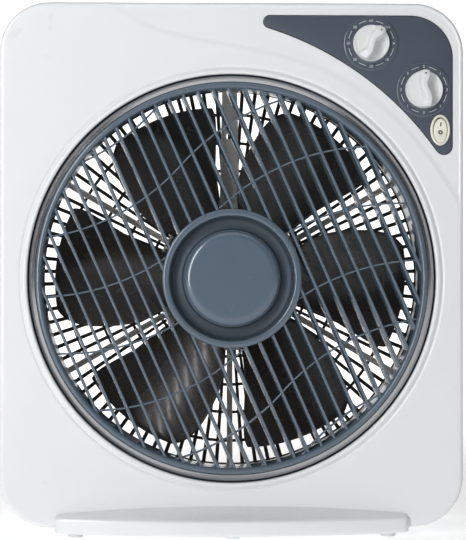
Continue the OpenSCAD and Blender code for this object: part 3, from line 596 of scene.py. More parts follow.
# ------------------------------------------------------------------ turning grille
def make_grille():
    # rim: rounded bead, inner skirt, running flange
    prof = [(146.3, -42.1), (146.0, -42.6), (146.5, -47.0), (147.0, -51.0), (147.15, -52.6), (147.4, -54.0), (147.8, -55.1), (148.35, -55.95), (149.0, -56.42), (149.7, -56.56),
            (150.4, -56.50), (151.0, -56.33), (151.5, -56.08), (151.9, -55.76), (152.2, -55.35), (152.42, -54.8), (152.5, -54.0), (152.7, -53.6), (154.5, -52.3), (155.8, -51.4),
            (156.3, -50.2), (156.6, -50.0), (156.9, -49.7), (156.9, -47.6), (157.3, -47.1), (161.5, -47.0), (161.9, -46.8), (162.0, -46.4), (162.0, -45.1), (161.8, -44.7),
            (161.4, -44.6), (156.0, -44.6), (155.6, -45.0), (155.4, -49.6), (154.6, -50.8), (153.2, -51.6), (151.9, -52.0), (150.6, -52.2), (149.4, -51.8), (148.7, -50.6),
            (148.4, -49.6), (148.2, -42.6), (147.9, -42.1), (147.1, -42.0)]
    rim = build("grille_rim", revolve(prof, 360), M["slate"], "grille", ["swing_grille"], sharp=40)
    # bright trim ring on the outer shoulder
    prof = [(152.72, -54.0), (152.74, -55.05), (153.25, -54.84), (154.2, -54.4), (155.2, -53.89), (156.2, -53.38), (156.95, -52.98), (157.3, -52.6), (157.4, -52.1),
            (157.4, -50.4), (157.1, -50.1), (156.7, -50.4), (156.2, -51.6), (155.2, -52.6), (154.2, -53.3), (153.2, -53.8), (152.85, -53.9)]
    nodes = ["grille_trim_ring"] if "grille_trim_ring" in NODES else []
    build("grille_trim", revolve(prof, 360), M["trim"], "grille", nodes, sharp=50)

    # hub ring: flat outer ring, thin inner bead, dished groove whose faces get a darker matt slate as painted shade
    yf = YF
    prof = [(52.2, yf + 13.0), (54.0, yf + 13.0), (54.2, yf + 12.8), (54.2, yf + 0.5), (54.08, yf - 0.4), (53.75, yf - 1.05), (53.2, yf - 1.45), (52.4, yf - 1.65), (51.2, yf - 1.72), (50.0, yf - 1.66),
            (49.35, yf - 1.5), (48.95, yf - 1.15), (48.78, yf - 0.6), (48.68, yf + 0.3), (48.45, yf + 1.6), (47.9, yf + 3.4), (47.1, yf + 6.2), (46.5, yf + 8.0), (45.6, yf + 8.7), (43.0, yf + 8.9), (39.6, yf + 8.7),
            (38.5, yf + 8.0), (38.1, yf + 6.2), (37.6, yf + 3.9), (0.0, yf + 3.7), (0.0, yf + 5.6), (35.4, yf + 5.6), (36.2, yf + 10.8), (48.4, yf + 10.8), (50.2, yf + 5.6), (51.6, yf + 5.6), (52.0, yf + 6.0)]
    hub = build("grille_hub", revolve(prof, 240), M["slate"], "grille", sharp=50)
    # faces inside the groove get the darker matt slate, painted shade of the groove
    hub.data.materials.append(M["slate_deep"])
    for p in hub.data.polygons:
        c = p.center / MM
        r = math.hypot(c.x, c.z - AX)
        if 37.4 < r < 48.72 and yf + 0.25 < c.y < yf + 9.5:
            p.material_index = 1
    # hub cap: raised disc with a soft broad bevel
    prof = [(0.0, yf - 1.30), (12.0, yf - 1.32), (24.0, yf - 1.35), (30.0, yf - 1.36), (31.2, yf - 1.35), (32.2, yf - 1.29), (33.1, yf - 1.12), (33.9, yf - 0.88), (34.7, yf - 0.55), (35.4, yf - 0.15), (36.0, yf + 0.35),
            (36.5, yf + 0.95), (36.85, yf + 1.7), (37.05, yf + 2.7), (37.15, yf + 3.9), (36.0, yf + 3.9), (0.0, yf + 3.8)]
    build("hub_cap", revolve(prof, 240), M["slate_disc"], "grille", ["grille_hub_cap"], sharp=50)

    # louvres: rounded nose, straight sides, each trimmed to the rim
    lean, tilt, pitch, t = math.radians(23.85), math.radians(8.0), 11.48, 2.25
    parts = []
    sec = []  # section of a louvre: (across, depth)
    hw = t / 2
    sec += [(-hw, 1.0), (-hw * 0.98, 0.72), (-hw * 0.92, 0.5), (-hw * 0.8, 0.34), (-hw * 0.62, 0.25), (-hw * 0.2, 0.15), (hw * 0.2, 0.04), (hw * 0.42, 0.0), (hw * 0.62, 0.03), (hw * 0.78, 0.14),
            (hw * 0.9, 0.33), (hw * 0.98, 0.62), (hw, 1.0)]
    sec += [(hw * 0.94, 8.0), (hw * 0.76, 11.7), (hw * 0.55, 12.2), (-hw * 0.55, 12.2), (-hw * 0.76, 11.7), (-hw * 0.94, 8.0)]

    def run(u, w0, w1, n):
        rings = []
        for i in range(n + 1):
            w = w0 + (w1 - w0) * i / n
            ring = []
            for a, b in sec:
                du = a * math.cos(tilt) - b * math.sin(tilt)
                dy = a * math.sin(tilt) + b * math.cos(tilt)
                uu = u + du
                # local frame: u across the louvres, w along them; lean puts the top to the left
                x = uu * math.cos(lean) - w * math.sin(lean)
                z = AX + uu * math.sin(lean) + w * math.cos(lean)
                ring.append((x, yf + 0.55 + dy, z))
            rings.append(ring)
        return loft(rings, cap0=True, cap1=True)

    R1, R0 = 148.3, 53.4
    for k in range(-12, 13):
        u = k * pitch
        e = math.sqrt(max(0.0, R1 * R1 - u * u))
        if abs(u) < R0:
            h = math.sqrt(R0 * R0 - u * u)
            parts.append(run(u, h, e, 10))
            parts.append(run(u, -e, -h, 10))
        else:
            parts.append(run(u, -e, e, 18))
    build("grille_louvres", join(*parts), M["slate"], "grille", sharp=50)

    # cross ribs: S curves of two arcs
    parts = []
    ra, ru = 15.8, 72.4
    rR = (ru * ru + ra * ra) / (2 * ra)

    def rib_v(u, v):
        s = 1 if u > 0 else -1
        return v + s * (ra - rR) + s * math.sqrt(max(0.0, rR * rR - (u - s * ru) ** 2))

    for k in range(-3, 4):
        v = k * 48.4
        pts = []
        for i in range(241):
            u = -147 + 294 * i / 240
            pts.append((u, rib_v(u, v)))
        seg = []
        for u, w in pts:
            r = math.hypot(u, w)
            if R0 < r < R1:
                seg.append((u, w))
            elif seg:
                if len(seg) > 2:
                    parts.append(rib_strip(seg, lean, yf))
                seg = []
        if len(seg) > 2:
            parts.append(rib_strip(seg, lean, yf))
    build("grille_cross_ribs", join(*parts), M["slate"], "grille", sharp=50)


def rib_strip(line, lean, yf):
    prof = [(-0.7, 5.4), (-0.7, 2.9), (-0.55, 2.5), (-0.2, 2.3), (0.2, 2.3), (0.55, 2.5), (0.7, 2.9), (0.7, 5.4)]
    rings = []
    for i, (u, w) in enumerate(line):
        a, b = line[max(0, i - 1)], line[min(len(line) - 1, i + 1)]
        du, dw = b[0] - a[0], b[1] - a[1]
        n = math.hypot(du, dw)
        nu, nw = -dw / n, du / n
        ring = []
        for o, y in prof:
            uu, ww = u + nu * o, w + nw * o
            ring.append((uu * math.cos(lean) - ww * math.sin(lean), yf + y, AX + uu * math.sin(lean) + ww * math.cos(lean)))
        rings.append(ring)
    return loft(rings, cap0=True, cap1=True)


# ------------------------------------------------------------------ fan
def chaikin(pts, rounds=3):
    for _ in range(rounds):
        out = []
        for i in range(len(pts)):
            a, b = pts[i], pts[(i + 1) % len(pts)]
            out.append((a[0] * 0.75 + b[0] * 0.25, a[1] * 0.75 + b[1] * 0.25))
            out.append((a[0] * 0.25 + b[0] * 0.75, a[1] * 0.25 + b[1] * 0.75))
        pts = out
    return pts


def make_fan():
    raw = [(35, 24), (46, 37.5), (61, 48.5), (72, 55.5), (87, 63.5), (103, 72.5), (110.5, 77.5), (114.8, 82.5), (115.8, 87), (112, 95.5), (97, 111.5), (76, 126), (57, 134.3),
           (43, 134), (33, 129), (25, 120.5), (18, 109.5), (11.5, 97), (6.5, 83.5), (4.2, 66), (8, 40), (20, 30)]
    outline = []
    for x, z in chaikin(raw, 3):
        r = math.hypot(x, z)
        if r > 142.3:
            x, z = x * 142.3 / r, z * 142.3 / r
        outline.append((x, z))
    c = (50.0, 86.0)
    mid = math.radians(59.0)

    def sheet(x, z):
        """Depth of the blade's middle surface: a pitched, cambered sheet with a little twist."""
        u = x * math.cos(mid) + z * math.sin(mid)
        w = -x * math.sin(mid) + z * math.cos(mid)
        p = math.radians(21.0 + 2.2 * (95 - u) / 50)
        y = -w * math.tan(p)
        for _ in range(6):
            zz = -y * math.sin(p) + w * math.cos(p)
            yy = 168 - math.sqrt(168 ** 2 - zz * zz)
            y = (yy - w * math.sin(p)) / math.cos(p)
        return 4.0 + y

    scale = [0.0, 0.12, 0.24, 0.36, 0.48, 0.60, 0.70, 0.79, 0.87, 0.93, 0.965, 0.985, 0.996, 1.0]

    def thick(s):
        edge = 1.0 if s < 0.93 else math.sqrt(max(0.0, 1 - ((s - 0.93) / 0.07) ** 2))
        return (1.15 - 0.25 * s) * edge

    rings = []
    for side in (-1, 1):
        rr = []
        for s in scale:
            if side == 1 and s == 1.0:
                continue
            ring = []
            for x, z in outline:
                px, pz = c[0] + (x - c[0]) * s, c[1] + (z - c[1]) * s
                ring.append((px, sheet(px, pz) + side * thick(s), pz))
            rr.append(ring)
        rings += rr if side == -1 else rr[::-1]
    blade = loft(rings)
    parts = []
    for i in range(6):
        a = math.radians(60 * i)
        ca, sa = math.cos(a), math.sin(a)
        v = [(x * ca - z * sa, y, AX + x * sa + z * ca) for x, y, z in blade[0]]
        parts.append((v, blade[1]))
    # hub cup: domed front, skirt, reinforcing boss
    prof = fillet([(0.0, -16.0), (38.0, -16.0, 6.0), (45.6, -13.5, 5.0), (46.0, 14.0, 0.5), (43.6, 14.0, 0.5), (43.4, -10.5, 4.0), (36.0, -13.2, 3.0), (9.0, -13.2, 1.0),
                   (8.5, -1.8, 0.4), (4.05, -1.8, 0.3), (4.05, -15.0, 0.0)], seg=6, closed=False)
    prof = [(4.05, -16.0)] + prof[1:]
    parts.append(revolve(prof, 160))
    build("fan_blades", join(*parts), M["blade"], "fan_rotor", ["fan_blade"], sharp=38)
    # grip nut with flutes
    n = 96
    rings = []
    for y, r, amp in ((-16.1, 10.0, 0.0), (-16.3, 10.4, 0.25), (-17.2, 10.5, 0.5), (-24.0, 10.4, 0.5), (-25.2, 10.0, 0.35), (-27.5, 8.9, 0.1), (-29.0, 8.1, 0.0), (-29.45, 7.5, 0.0)):
        rings.append([((r - amp * (0.5 + 0.5 * math.cos(12 * 2 * pi * i / n))) * math.cos(2 * pi * i / n), y,
                       AX + (r - amp * (0.5 + 0.5 * math.cos(12 * 2 * pi * i / n))) * math.sin(2 * pi * i / n)) for i in range(n)])
    for r, y in ((5.5, -29.5), (4.4, -29.2), (4.06, -28.6), (4.06, -16.1)):
        rings.append([(r * math.cos(2 * pi * i / n), y, AX + r * math.sin(2 * pi * i / n)) for i in range(n)])
    build("blade_grip_nut", loft(rings, loop=True), M["blade"], "fan_rotor", ["blade_nut"], sharp=40)


# ------------------------------------------------------------------ bracket and guard
def bar(profile, a_deg, r0, r1, n=2, taper=1.0):
    """Sweeps a section of (across, y) points along a ray from the axis."""
    a = math.radians(a_deg)
    ca, sa = math.cos(a), math.sin(a)
    rings = []
    for i in range(n + 1):
        s = i / n
        r = r0 + (r1 - r0) * s
        k = 1.0 + (taper - 1.0) * s
        rings.append([(r * ca - o * k * sa, y, AX + r * sa + o * k * ca) for o, y in profile])
    return loft(rings, cap0=True, cap1=True)


def make_bracket():
    parts = [revolve(fillet([(157.6, 42.1, 0.3), (159.85, 42.1, 0.3), (159.85, 53.7, 0.3), (157.6, 53.7, 0.3)], seg=3), 240)]
    # arms: shallow channels with rounded flanges and a ridge down the middle
    sec = [(-2.4, 43.4), (-2.3, 43.1), (-2.05, 43.0), (-1.55, 43.0), (-1.3, 43.1), (-1.2, 43.4), (-1.2, 45.6), (-0.5, 45.7), (-0.4, 44.6), (-0.25, 44.4), (0.25, 44.4), (0.4, 44.6),
           (0.5, 45.7), (1.2, 45.6), (1.2, 43.4), (1.3, 43.1), (1.55, 43.0), (2.05, 43.0), (2.3, 43.1), (2.4, 43.4), (2.4, 51.6), (2.1, 52.0), (-2.1, 52.0), (-2.4, 51.6)]
    for a in (30, 150, 210, 270, 330):
        parts.append(bar(sec, a, 59.0, 158.6, 4))
    # wide arm at the top: open channel towards the back, slotted
    arm = build("top_arm", join(
        bar([(-8.4, 43.5), (-8.0, 43.1), (-7.5, 43.0), (-7.0, 43.1), (-6.7, 43.5), (-6.4, 44.1), (-5.8, 44.3), (5.8, 44.3), (6.4, 44.1), (6.7, 43.5), (7.0, 43.1), (7.5, 43.0), (8.0, 43.1), (8.4, 43.5),
             (8.4, 51.6), (8.0, 52.0), (7.0, 52.0), (6.6, 51.6), (6.6, 46.2), (6.2, 45.8), (-6.2, 45.8), (-6.6, 46.2), (-6.6, 51.6), (-7.0, 52.0), (-8.0, 52.0), (-8.4, 51.6)], 90, 59.0, 158.4, 4, 0.74)), M["bracket"])
    slot = build("slot_cut", prism(round_rect(0, AX + 118.5, 5.2, 4.6, 1.0, 4), 40, 56), M["bracket"])
    cut(arm, slot, sharp=35)
    ob = build("bracket_arms", join(*parts), M["bracket"], "housing", ["motor_bracket"], sharp=40)
    settle(arm, "housing")
    # motor plate with a rolled cup edge
    prof = fillet([(58.0, 33.0, 0.6), (60.5, 33.0, 0.9), (60.5, 47.0, 0.6), (11.0, 47.0, 0.4), (11.0, 44.0, 0.4), (53.5, 44.0, 1.5), (58.0, 40.0, 1.5)], seg=4)
    plate = build("bracket_cup", revolve(prof, 200), M["cup"], "housing", sharp=40)
    return ob


def make_guard():
    parts = []
    w, yb = 1.0, YB
    sec = [(-w, yb - 0.7), (-w * 0.8, yb - 1.0), (-w * 0.3, yb - 1.1), (w * 0.3, yb - 1.1), (w * 0.8, yb - 1.0), (w, yb - 0.7), (w, yb + 1.2), (w * 0.75, yb + 1.7), (w * 0.3, yb + 1.9),
           (-w * 0.3, yb + 1.9), (-w * 0.75, yb + 1.7), (-w, yb + 1.2)]
    sec = [(o * 1.2, y) for o, y in sec]
    for i in range(90):
        parts.append(bar(sec, (i + 0.5) * 4.0, 59.0, 158.4, 1, 1.34))
    guard_bars = join(*parts)
    rings = []
    for r in (66.7, 90.3, 113.6, 137.6):
        rings.append(revolve(fillet([(r - 1.25, yb - 2.2, 0.7), (r + 1.25, yb - 2.2, 0.7), (r + 1.25, yb - 0.2, 0.4), (r - 1.25, yb - 0.2, 0.4)], seg=3), 160))
    flange = revolve(fillet([(156.6, yb + 0.1, 0.3), (170.6, yb + 0.1, 0.2), (170.6, yb + 1.6, 1.0), (168.5, yb + 2.1, 1.0), (158.4, yb + 2.1, 0.8), (156.6, yb + 1.5, 0.6)], seg=4), 240)
    disc = revolve([(0.0, yb - 0.4), (56.0, yb - 0.4), (60.4, yb - 0.8), (60.9, yb - 0.7), (61.0, yb - 0.2), (61.0, yb + 0.9), (60.7, yb + 1.4), (60.0, yb + 1.6), (52.0, yb + 1.6), (51.0, yb + 1.45),
                    (50.0, yb + 0.9), (49.0, yb + 0.75), (30.0, yb + 0.75), (29.0, yb + 0.9), (28.2, yb + 1.4), (27.4, yb + 1.55), (0.0, yb + 1.6)], 200, loop=False)
    build("rear_guard_wires", join(guard_bars, *rings), M["guard"], "housing", ["rear_guard"], sharp=45)
    build("rear_guard_flange", join(flange, disc), M["guard"], "housing", sharp=45)


# ------------------------------------------------------------------ screws
def screw_head(x, z, y, r, h, toward=1, n=40):
    """Pan head with a cross recess, at (x, z), its top at y and facing +Y. The toward argument is not used."""
    prof = [(0.0, 0.0), (r * 0.55, 0.02 * h), (r * 0.8, 0.16 * h), (r * 0.94, 0.42 * h), (r, 0.7 * h), (r, h), (r * 0.5, h), (0.0, h)]
    v, f = revolve([(a, -b) for a, b in prof], n, 0.0, 0.0, loop=False)
    return [(x + p[0], y + p[1], z + p[2]) for p in v], f


def make_screws(name, places, y, r, h, nodes, long_y0, shank_r):
    geo = [screw_head(x, z, y, r, h) for x, z in places]
    ob = build(name, join(*geo), M["screw"], sharp=40)
    cross = []
    for i, (x, z) in enumerate(places):
        a = 0.35 + 0.8 * i
        for k in (0, 1):
            t = a + k * pi / 2
            c, s = math.cos(t), math.sin(t)
            L, W = r * 0.62, r * 0.14
            pts = [(x + L * c - W * s, z + L * s + W * c), (x - L * c - W * s, z - L * s + W * c), (x - L * c + W * s, z - L * s - W * c), (x + L * c + W * s, z + L * s - W * c)]
            cross.append(prism(pts, y - h * 0.55, y + 1.0))
    k0 = build("k0", join(*cross[0::2]), M["screw"])
    k1 = build("k1", join(*cross[1::2]), M["screw"])
    cut(ob, k0, k1, sharp=35)
    settle(ob, "housing", nodes)
    # threaded shanks
    parts = []
    for x, z in places:
        prof = []
        yy = long_y0
        while yy < y - h:
            prof += [(shank_r * 0.82, yy), (shank_r, yy + 0.35), (shank_r * 0.82, yy + 0.7)]
            yy += 0.75
        prof = [(0.0, long_y0 - 0.5)] + prof + [(0.0, yy)]
        parts.append(revolve(prof, 20, x, z, loop=False))
    sh = build(name + "_shanks", join(*parts), M["screw"], "housing", sharp=60)
    return ob


# ------------------------------------------------------------------ controls
TIMER, SPEED, ROCK = (107.9, 382.0), (149.0, 346.2), (161.7, 314.8)


def make_panel():
    plate = soft_plate(lambda d: panel_outline(d), YF - 0.3, YF + 1.5, 0.45, 4)
    ob = build("control_panel_plate", plate, M["panel"], sharp=30)
    hole = build("rock_cut", prism(round_rect(ROCK[0], ROCK[1], 12.2, 20.8, 3.0, 6), -60, -50), M["panel"])
    cut(ob, hole, sharp=30)
    settle(ob, "housing", ["control_panel"])
    # black strip at the floor of the gap round the panel: painted shade of that gap
    gap_shade_strip = prism(panel_outline(-0.86), YF + 1.0, YF + 1.45)
    build("panel_gap_shade_strip", gap_shade_strip, M["rubber"], "housing")
    yf = YF
    parts = []
    for (x, z) in (TIMER, SPEED):
        prof = [(0.0, yf - 0.95), (15.2, yf - 0.95), (15.5, yf - 0.80), (15.9, yf - 0.80), (16.2, yf - 0.95), (19.3, yf - 0.98), (20.2, yf - 0.98), (20.8, yf - 0.88), (21.2, yf - 0.62), (21.4, yf - 0.3),
                (21.5, yf + 0.2), (0.0, yf + 0.2)]
        parts.append(revolve(prof, 160, x, z, loop=False))
    build("dial_plateaus", join(*parts), M["panel"], "housing", sharp=50)

    # printed scales
    marks = []

    def arc_mark(x, z, r, a0, a1, w, y=yf - 1.0):
        inner, outer = [], []
        n = 10
        for i in range(n + 1):
            t = math.radians(a0 + (a1 - a0) * i / n)
            inner.append((x + (r - w / 2) * math.sin(t), z + (r - w / 2) * math.cos(t)))
            outer.append((x + (r + w / 2) * math.sin(t), z + (r + w / 2) * math.cos(t)))
        marks.append(prism(outer + inner[::-1], y - 0.05, y + 0.04))

    for x, z, r in ((*TIMER, 17.7), (*SPEED, 17.9)):
        for a in range(0, 360, 45):
            arc_mark(x, z, r, a + 12.5, a + 32.5, 0.42)
    build("dial_arcs", join(*marks), M["print"], "housing", ["dial_marks"], sharp=50)
    timer_words = ["60", "ON", "x", "10", "20", "30", "40", "50"]
    for i, w in enumerate(timer_words):
        if w == "x":
            dot = y_cyl(0, 0.75, yf - 1.06, yf - 0.9, TIMER[0] + 17.7, TIMER[1], 20, 0.02)
            build("timer_off_mark", dot, M["print"], "housing")
            continue
        label("timer_" + ("on" if w == "ON" else w), w, TIMER, 17.7, 45 * i, 3.0, yf - 1.0)
    for i, w in enumerate(["0", "1", "2", "3", "0", "1", "2", "3"]):
        label(f"speed_{i}_{w}", w, SPEED, 17.9, 45 * i, 3.1, yf - 1.0)


def label(name, text, centre, r, a_deg, size, y, mat="print", body="housing", depth=0.045, dx=0.0, dz=0.0, upright=False, stretch=1.0):
    cu = bpy.data.curves.new(name, "FONT")
    cu.body = text
    cu.size = size * MM
    cu.align_x = "CENTER"
    cu.align_y = "CENTER"
    cu.extrude = depth * MM
    cu.resolution_u = 5
    ob = bpy.data.objects.new(name, cu)
    bpy.context.scene.collection.objects.link(ob)
    dg = bpy.context.evaluated_depsgraph_get()
    me = bpy.data.meshes.new_from_object(ob.evaluated_get(dg), depsgraph=dg)
    bpy.data.objects.remove(ob)
    co = np.array([v.co for v in me.vertices]).reshape(-1, 3)
    lo, hi = co.min(0), co.max(0)
    co[:, :2] -= (lo[:2] + hi[:2]) / 2
    co[:, 0] *= stretch
    a = math.radians(a_deg)
    px = centre[0] * MM + r * MM * math.sin(a) + dx * MM
    pz = centre[1] * MM + r * MM * math.cos(a) + dz * MM
    out = np.empty_like(co)
    out[:, 0] = px + co[:, 0]
    out[:, 1] = y * MM - co[:, 2]
    out[:, 2] = pz + co[:, 1]
    me.vertices.foreach_set("co", out.astype(np.float32).ravel())
    bm = bmesh.new()
    bm.from_mesh(me)
    bmesh.ops.remove_doubles(bm, verts=bm.verts, dist=1e-6)
    bmesh.ops.recalc_face_normals(bm, faces=bm.faces)
    bm.to_mesh(me)
    bm.free()
    me.materials.clear()
    me.materials.append(M[mat])
    new = bpy.data.objects.new(name, me)
    bpy.context.scene.collection.objects.link(new)
    settle(new, body)
    return new


def sstep(a, b, x):
    t = min(1.0, max(0.0, (x - a) / (b - a)))
    return t * t * (3 - 2 * t)


def make_knob(name, centre, R, turn, body, node):
    """A round cap with an S-shaped grip ridge: a pointer lobe at the top, a flared tail at the bottom, scooped hollows beside it."""
    y0 = YF - 1.35       # underside
    disc = 3.4           # height of the cap's face above the underside
    top = 11.6           # height of the ridge
    # centreline of the ridge in units of R, from tail to pointer
    spine = np.array(catmull([(0.06, -1.02), (0.10, -0.80), (0.17, -0.52), (0.10, -0.20), (-0.02, 0.08), (-0.07, 0.36), (0.0, 0.66), (0.0, 0.98)], 12))
    width = np.interp(np.linspace(0, 1, len(spine)), [0, 0.12, 0.3, 0.5, 0.62, 0.78, 0.9, 1.0], [0.30, 0.25, 0.19, 0.165, 0.165, 0.20, 0.26, 0.27])

    def ridge(x, z):
        d = np.hypot(spine[:, 0] - x, spine[:, 1] - z)
        i = int(d.argmin())
        return d[i] / width[i], i / (len(spine) - 1)

    nr, na = 46, 176
    rings = []
    radii = [R * (1 - math.cos(pi / 2 * k / nr)) for k in range(1, nr + 1)]
    radii = [R * (0.02 + 0.98 * (k / nr) ** 0.9) for k in range(nr + 1)]
    for r in radii:
        ring = []
        for j in range(na):
            t = 2 * pi * j / na
            # the pointer lobe stands slightly beyond the disc
            lobe = math.exp(-((((t - pi / 2 + pi) % (2 * pi)) - pi) / 0.20) ** 2)
            rr = r * (1 + 0.055 * lobe * (r / R) ** 6)
            x, z = rr * math.cos(t), rr * math.sin(t)
            k, s = ridge(x / R, z / R)
            steep = x / R > spine[int(round(s * (len(spine) - 1)))][0]
            up = 1 - (sstep(0.80, 1.22, k) if steep else sstep(0.80, 1.75, k))
            hollow = (1 - sstep(0.80, 0.99, r / R)) * sstep(0.9, 1.6, k) * (1.5 if steep else 0.6)
            edge = sstep(0.0, 1.0, (1 - r / R) / 0.045)
            h = disc - 0.9 * hollow + 0.35 * (1 - hollow) * (1 - up)
            crest = top - 1.5 * (1 - sstep(0.0, 0.14, 1.0 - s)) - 3.2 * (1 - sstep(0.0, 0.22, s)) - 0.5 * min(1.0, k) ** 2
            h = h + (crest - h) * up
            h = min(h, disc - 1.1 + (h - disc + 1.1) * edge) if r > R * 0.9 else h
            ring.append((x, y0 - h, z))
        rings.append(ring)
    last = rings[-1]
    rings.append([(x * 1.004, y0 - max(1.6, min(disc - 1.2, -(y - y0) - 0.4)), z * 1.004) for x, y, z in last])
    rings.append([(x * 1.004, y0 - 0.35, z * 1.004) for x, y, z in last])
    rings.append([(x * 0.99, y0, z * 0.99) for x, y, z in last])
    rings.append([(x * 0.5, y0, z * 0.5) for x, y, z in last])
    geo = loft(rings, cap0=True, cap1=True)
    a = math.radians(turn)
    ca, sa = math.cos(a), math.sin(a)
    v = [(centre[0] + x * ca + z * sa, y, centre[1] - x * sa + z * ca) for x, y, z in geo[0]]
    ob = build(name, (v, geo[1]), M["knob"], body, [node], sharp=60)
    # pointer dot
    px, pz = 0.0, R * 0.80
    x, z = centre[0] + px * ca + pz * sa, centre[1] - px * sa + pz * ca
    build(name + "_dot", y_cyl(0, 0.62, y0 - top + 0.0, y0 - top + 1.6, x, z, 24, 0.1), M["ink"], body)
    return ob


def oval(cx, cz, w, h, n=72):
    return [(cx + w * math.cos(2 * pi * k / n), cz + h * math.sin(2 * pi * k / n)) for k in range(n)]


def make_rocker():
    x, z = ROCK
    yf = YF
    rings = []
    for w, h, y in ((5.95, 10.15, -37.0), (5.95, 10.15, yf - 0.2), (7.45, 11.75, yf - 0.32), (7.66, 11.96, yf - 0.5), (7.7, 12.0, yf - 0.9), (7.62, 11.92, yf - 1.35), (7.3, 11.6, yf - 1.72),
                    (6.8, 11.1, yf - 1.88), (6.3, 10.6, yf - 1.8), (5.85, 10.15, yf - 1.55), (5.6, 9.9, yf - 1.2), (5.5, 9.8, yf - 0.8), (5.45, 9.75, yf + 2.0), (5.45, 9.75, yf + 12.5), (3.0, 7.0, yf + 13.0)):
        rings.append([(px, y, pz) for px, pz in oval(x, z, w, h)])
    build("rocker_bezel", loft(rings, cap0=True, cap1=True), M["cream"], "housing", ["rocker_housing"], sharp=50)
    # well behind the key: its geometry is made here but never built
    well = loft([[(px, yf - 0.2, pz) for px, pz in oval(x, z, 5.42, 9.72)], [(px, yf + 0.4, pz) for px, pz in oval(x, z, 5.42, 9.72)]], cap0=True, cap1=True)
    # key: two facets meeting in a soft valley, tipped towards its lower end
    px0, py0, pz0 = ROCK[0], YF + 3.0, ROCK[1]
    tip = math.radians(6.0)
    ca, sa = math.cos(tip), math.sin(tip)

    def front(dz):
        return -(5.55 + 1.55 * (math.sqrt(dz * dz + 1.2) - 1.1) / 8.4)

    rings = []
    for k, back in ((0.03, 0.0), (0.14, 0.0), (0.28, 0.0), (0.42, 0.0), (0.56, 0.0), (0.68, 0.0), (0.78, 0.0), (0.86, 0.02), (0.92, 0.08), (0.96, 0.22), (0.99, 0.48), (1.0, 0.85), (1.0, 3.0)):
        rings.append([(ox, front(oz) + back, oz) for ox, oz in oval(0, 0, 5.2 * k, 9.3 * k)])
    rings.append([(ox, 5.5, oz) for ox, oz in oval(0, 0, 5.0, 7.4)])
    rings.append([(ox, 7.6, oz) for ox, oz in oval(0, 0, 3.0, 4.5)])
    v, f = loft(rings, cap0=True, cap1=True)
    v = [(px0 + a, py0 + b * ca - c * sa, pz0 + b * sa + c * ca) for a, b, c in v]
    build("rocker_key_cap", (v, f), M["cream"], "rocker_key", ["rocker"], sharp=50)
    for name, text, dz, size in (("mark_on", "I", 4.9, 3.7), ("mark_off", "O", -1.3, 4.0)):
        # the mark sits on the facet, so it leans with it
        yy = front(dz)
        slope = (front(dz + 0.5) - front(dz - 0.5))
        cu = bpy.data.curves.new(name, "FONT")
        cu.body = text
        cu.size = size * MM
        cu.align_x = cu.align_y = "CENTER"
        cu.extrude = 0.12 * MM
        cu.offset = 0.00026
        cu.resolution_u = 5
        ob = bpy.data.objects.new(name, cu)
        bpy.context.scene.collection.objects.link(ob)
        dg = bpy.context.evaluated_depsgraph_get()
        me = bpy.data.meshes.new_from_object(ob.evaluated_get(dg), depsgraph=dg)
        bpy.data.objects.remove(ob)
        co = np.array([q.co for q in me.vertices]).reshape(-1, 3) / MM
        co[:, :2] -= (co[:, :2].min(0) + co[:, :2].max(0)) / 2
        out = []
        for cx_, cy_, cz_ in co:
            b = yy + slope * cy_ - cz_ - 0.06
            c = dz + cy_
            out.append(((px0 + cx_) * MM, (py0 + b * ca - c * sa) * MM, (pz0 + b * sa + c * ca) * MM))
        me.vertices.foreach_set("co", np.array(out, np.float32).ravel())
        bm = bmesh.new()
        bm.from_mesh(me)
        bmesh.ops.remove_doubles(bm, verts=bm.verts, dist=1e-6)
        bmesh.ops.recalc_face_normals(bm, faces=bm.faces)
        bm.to_mesh(me)
        bm.free()
        me.materials.clear()
        me.materials.append(M["ink"])
        new = bpy.data.objects.new(name, me)
        bpy.context.scene.collection.objects.link(new)
        settle(new, "rocker_key")


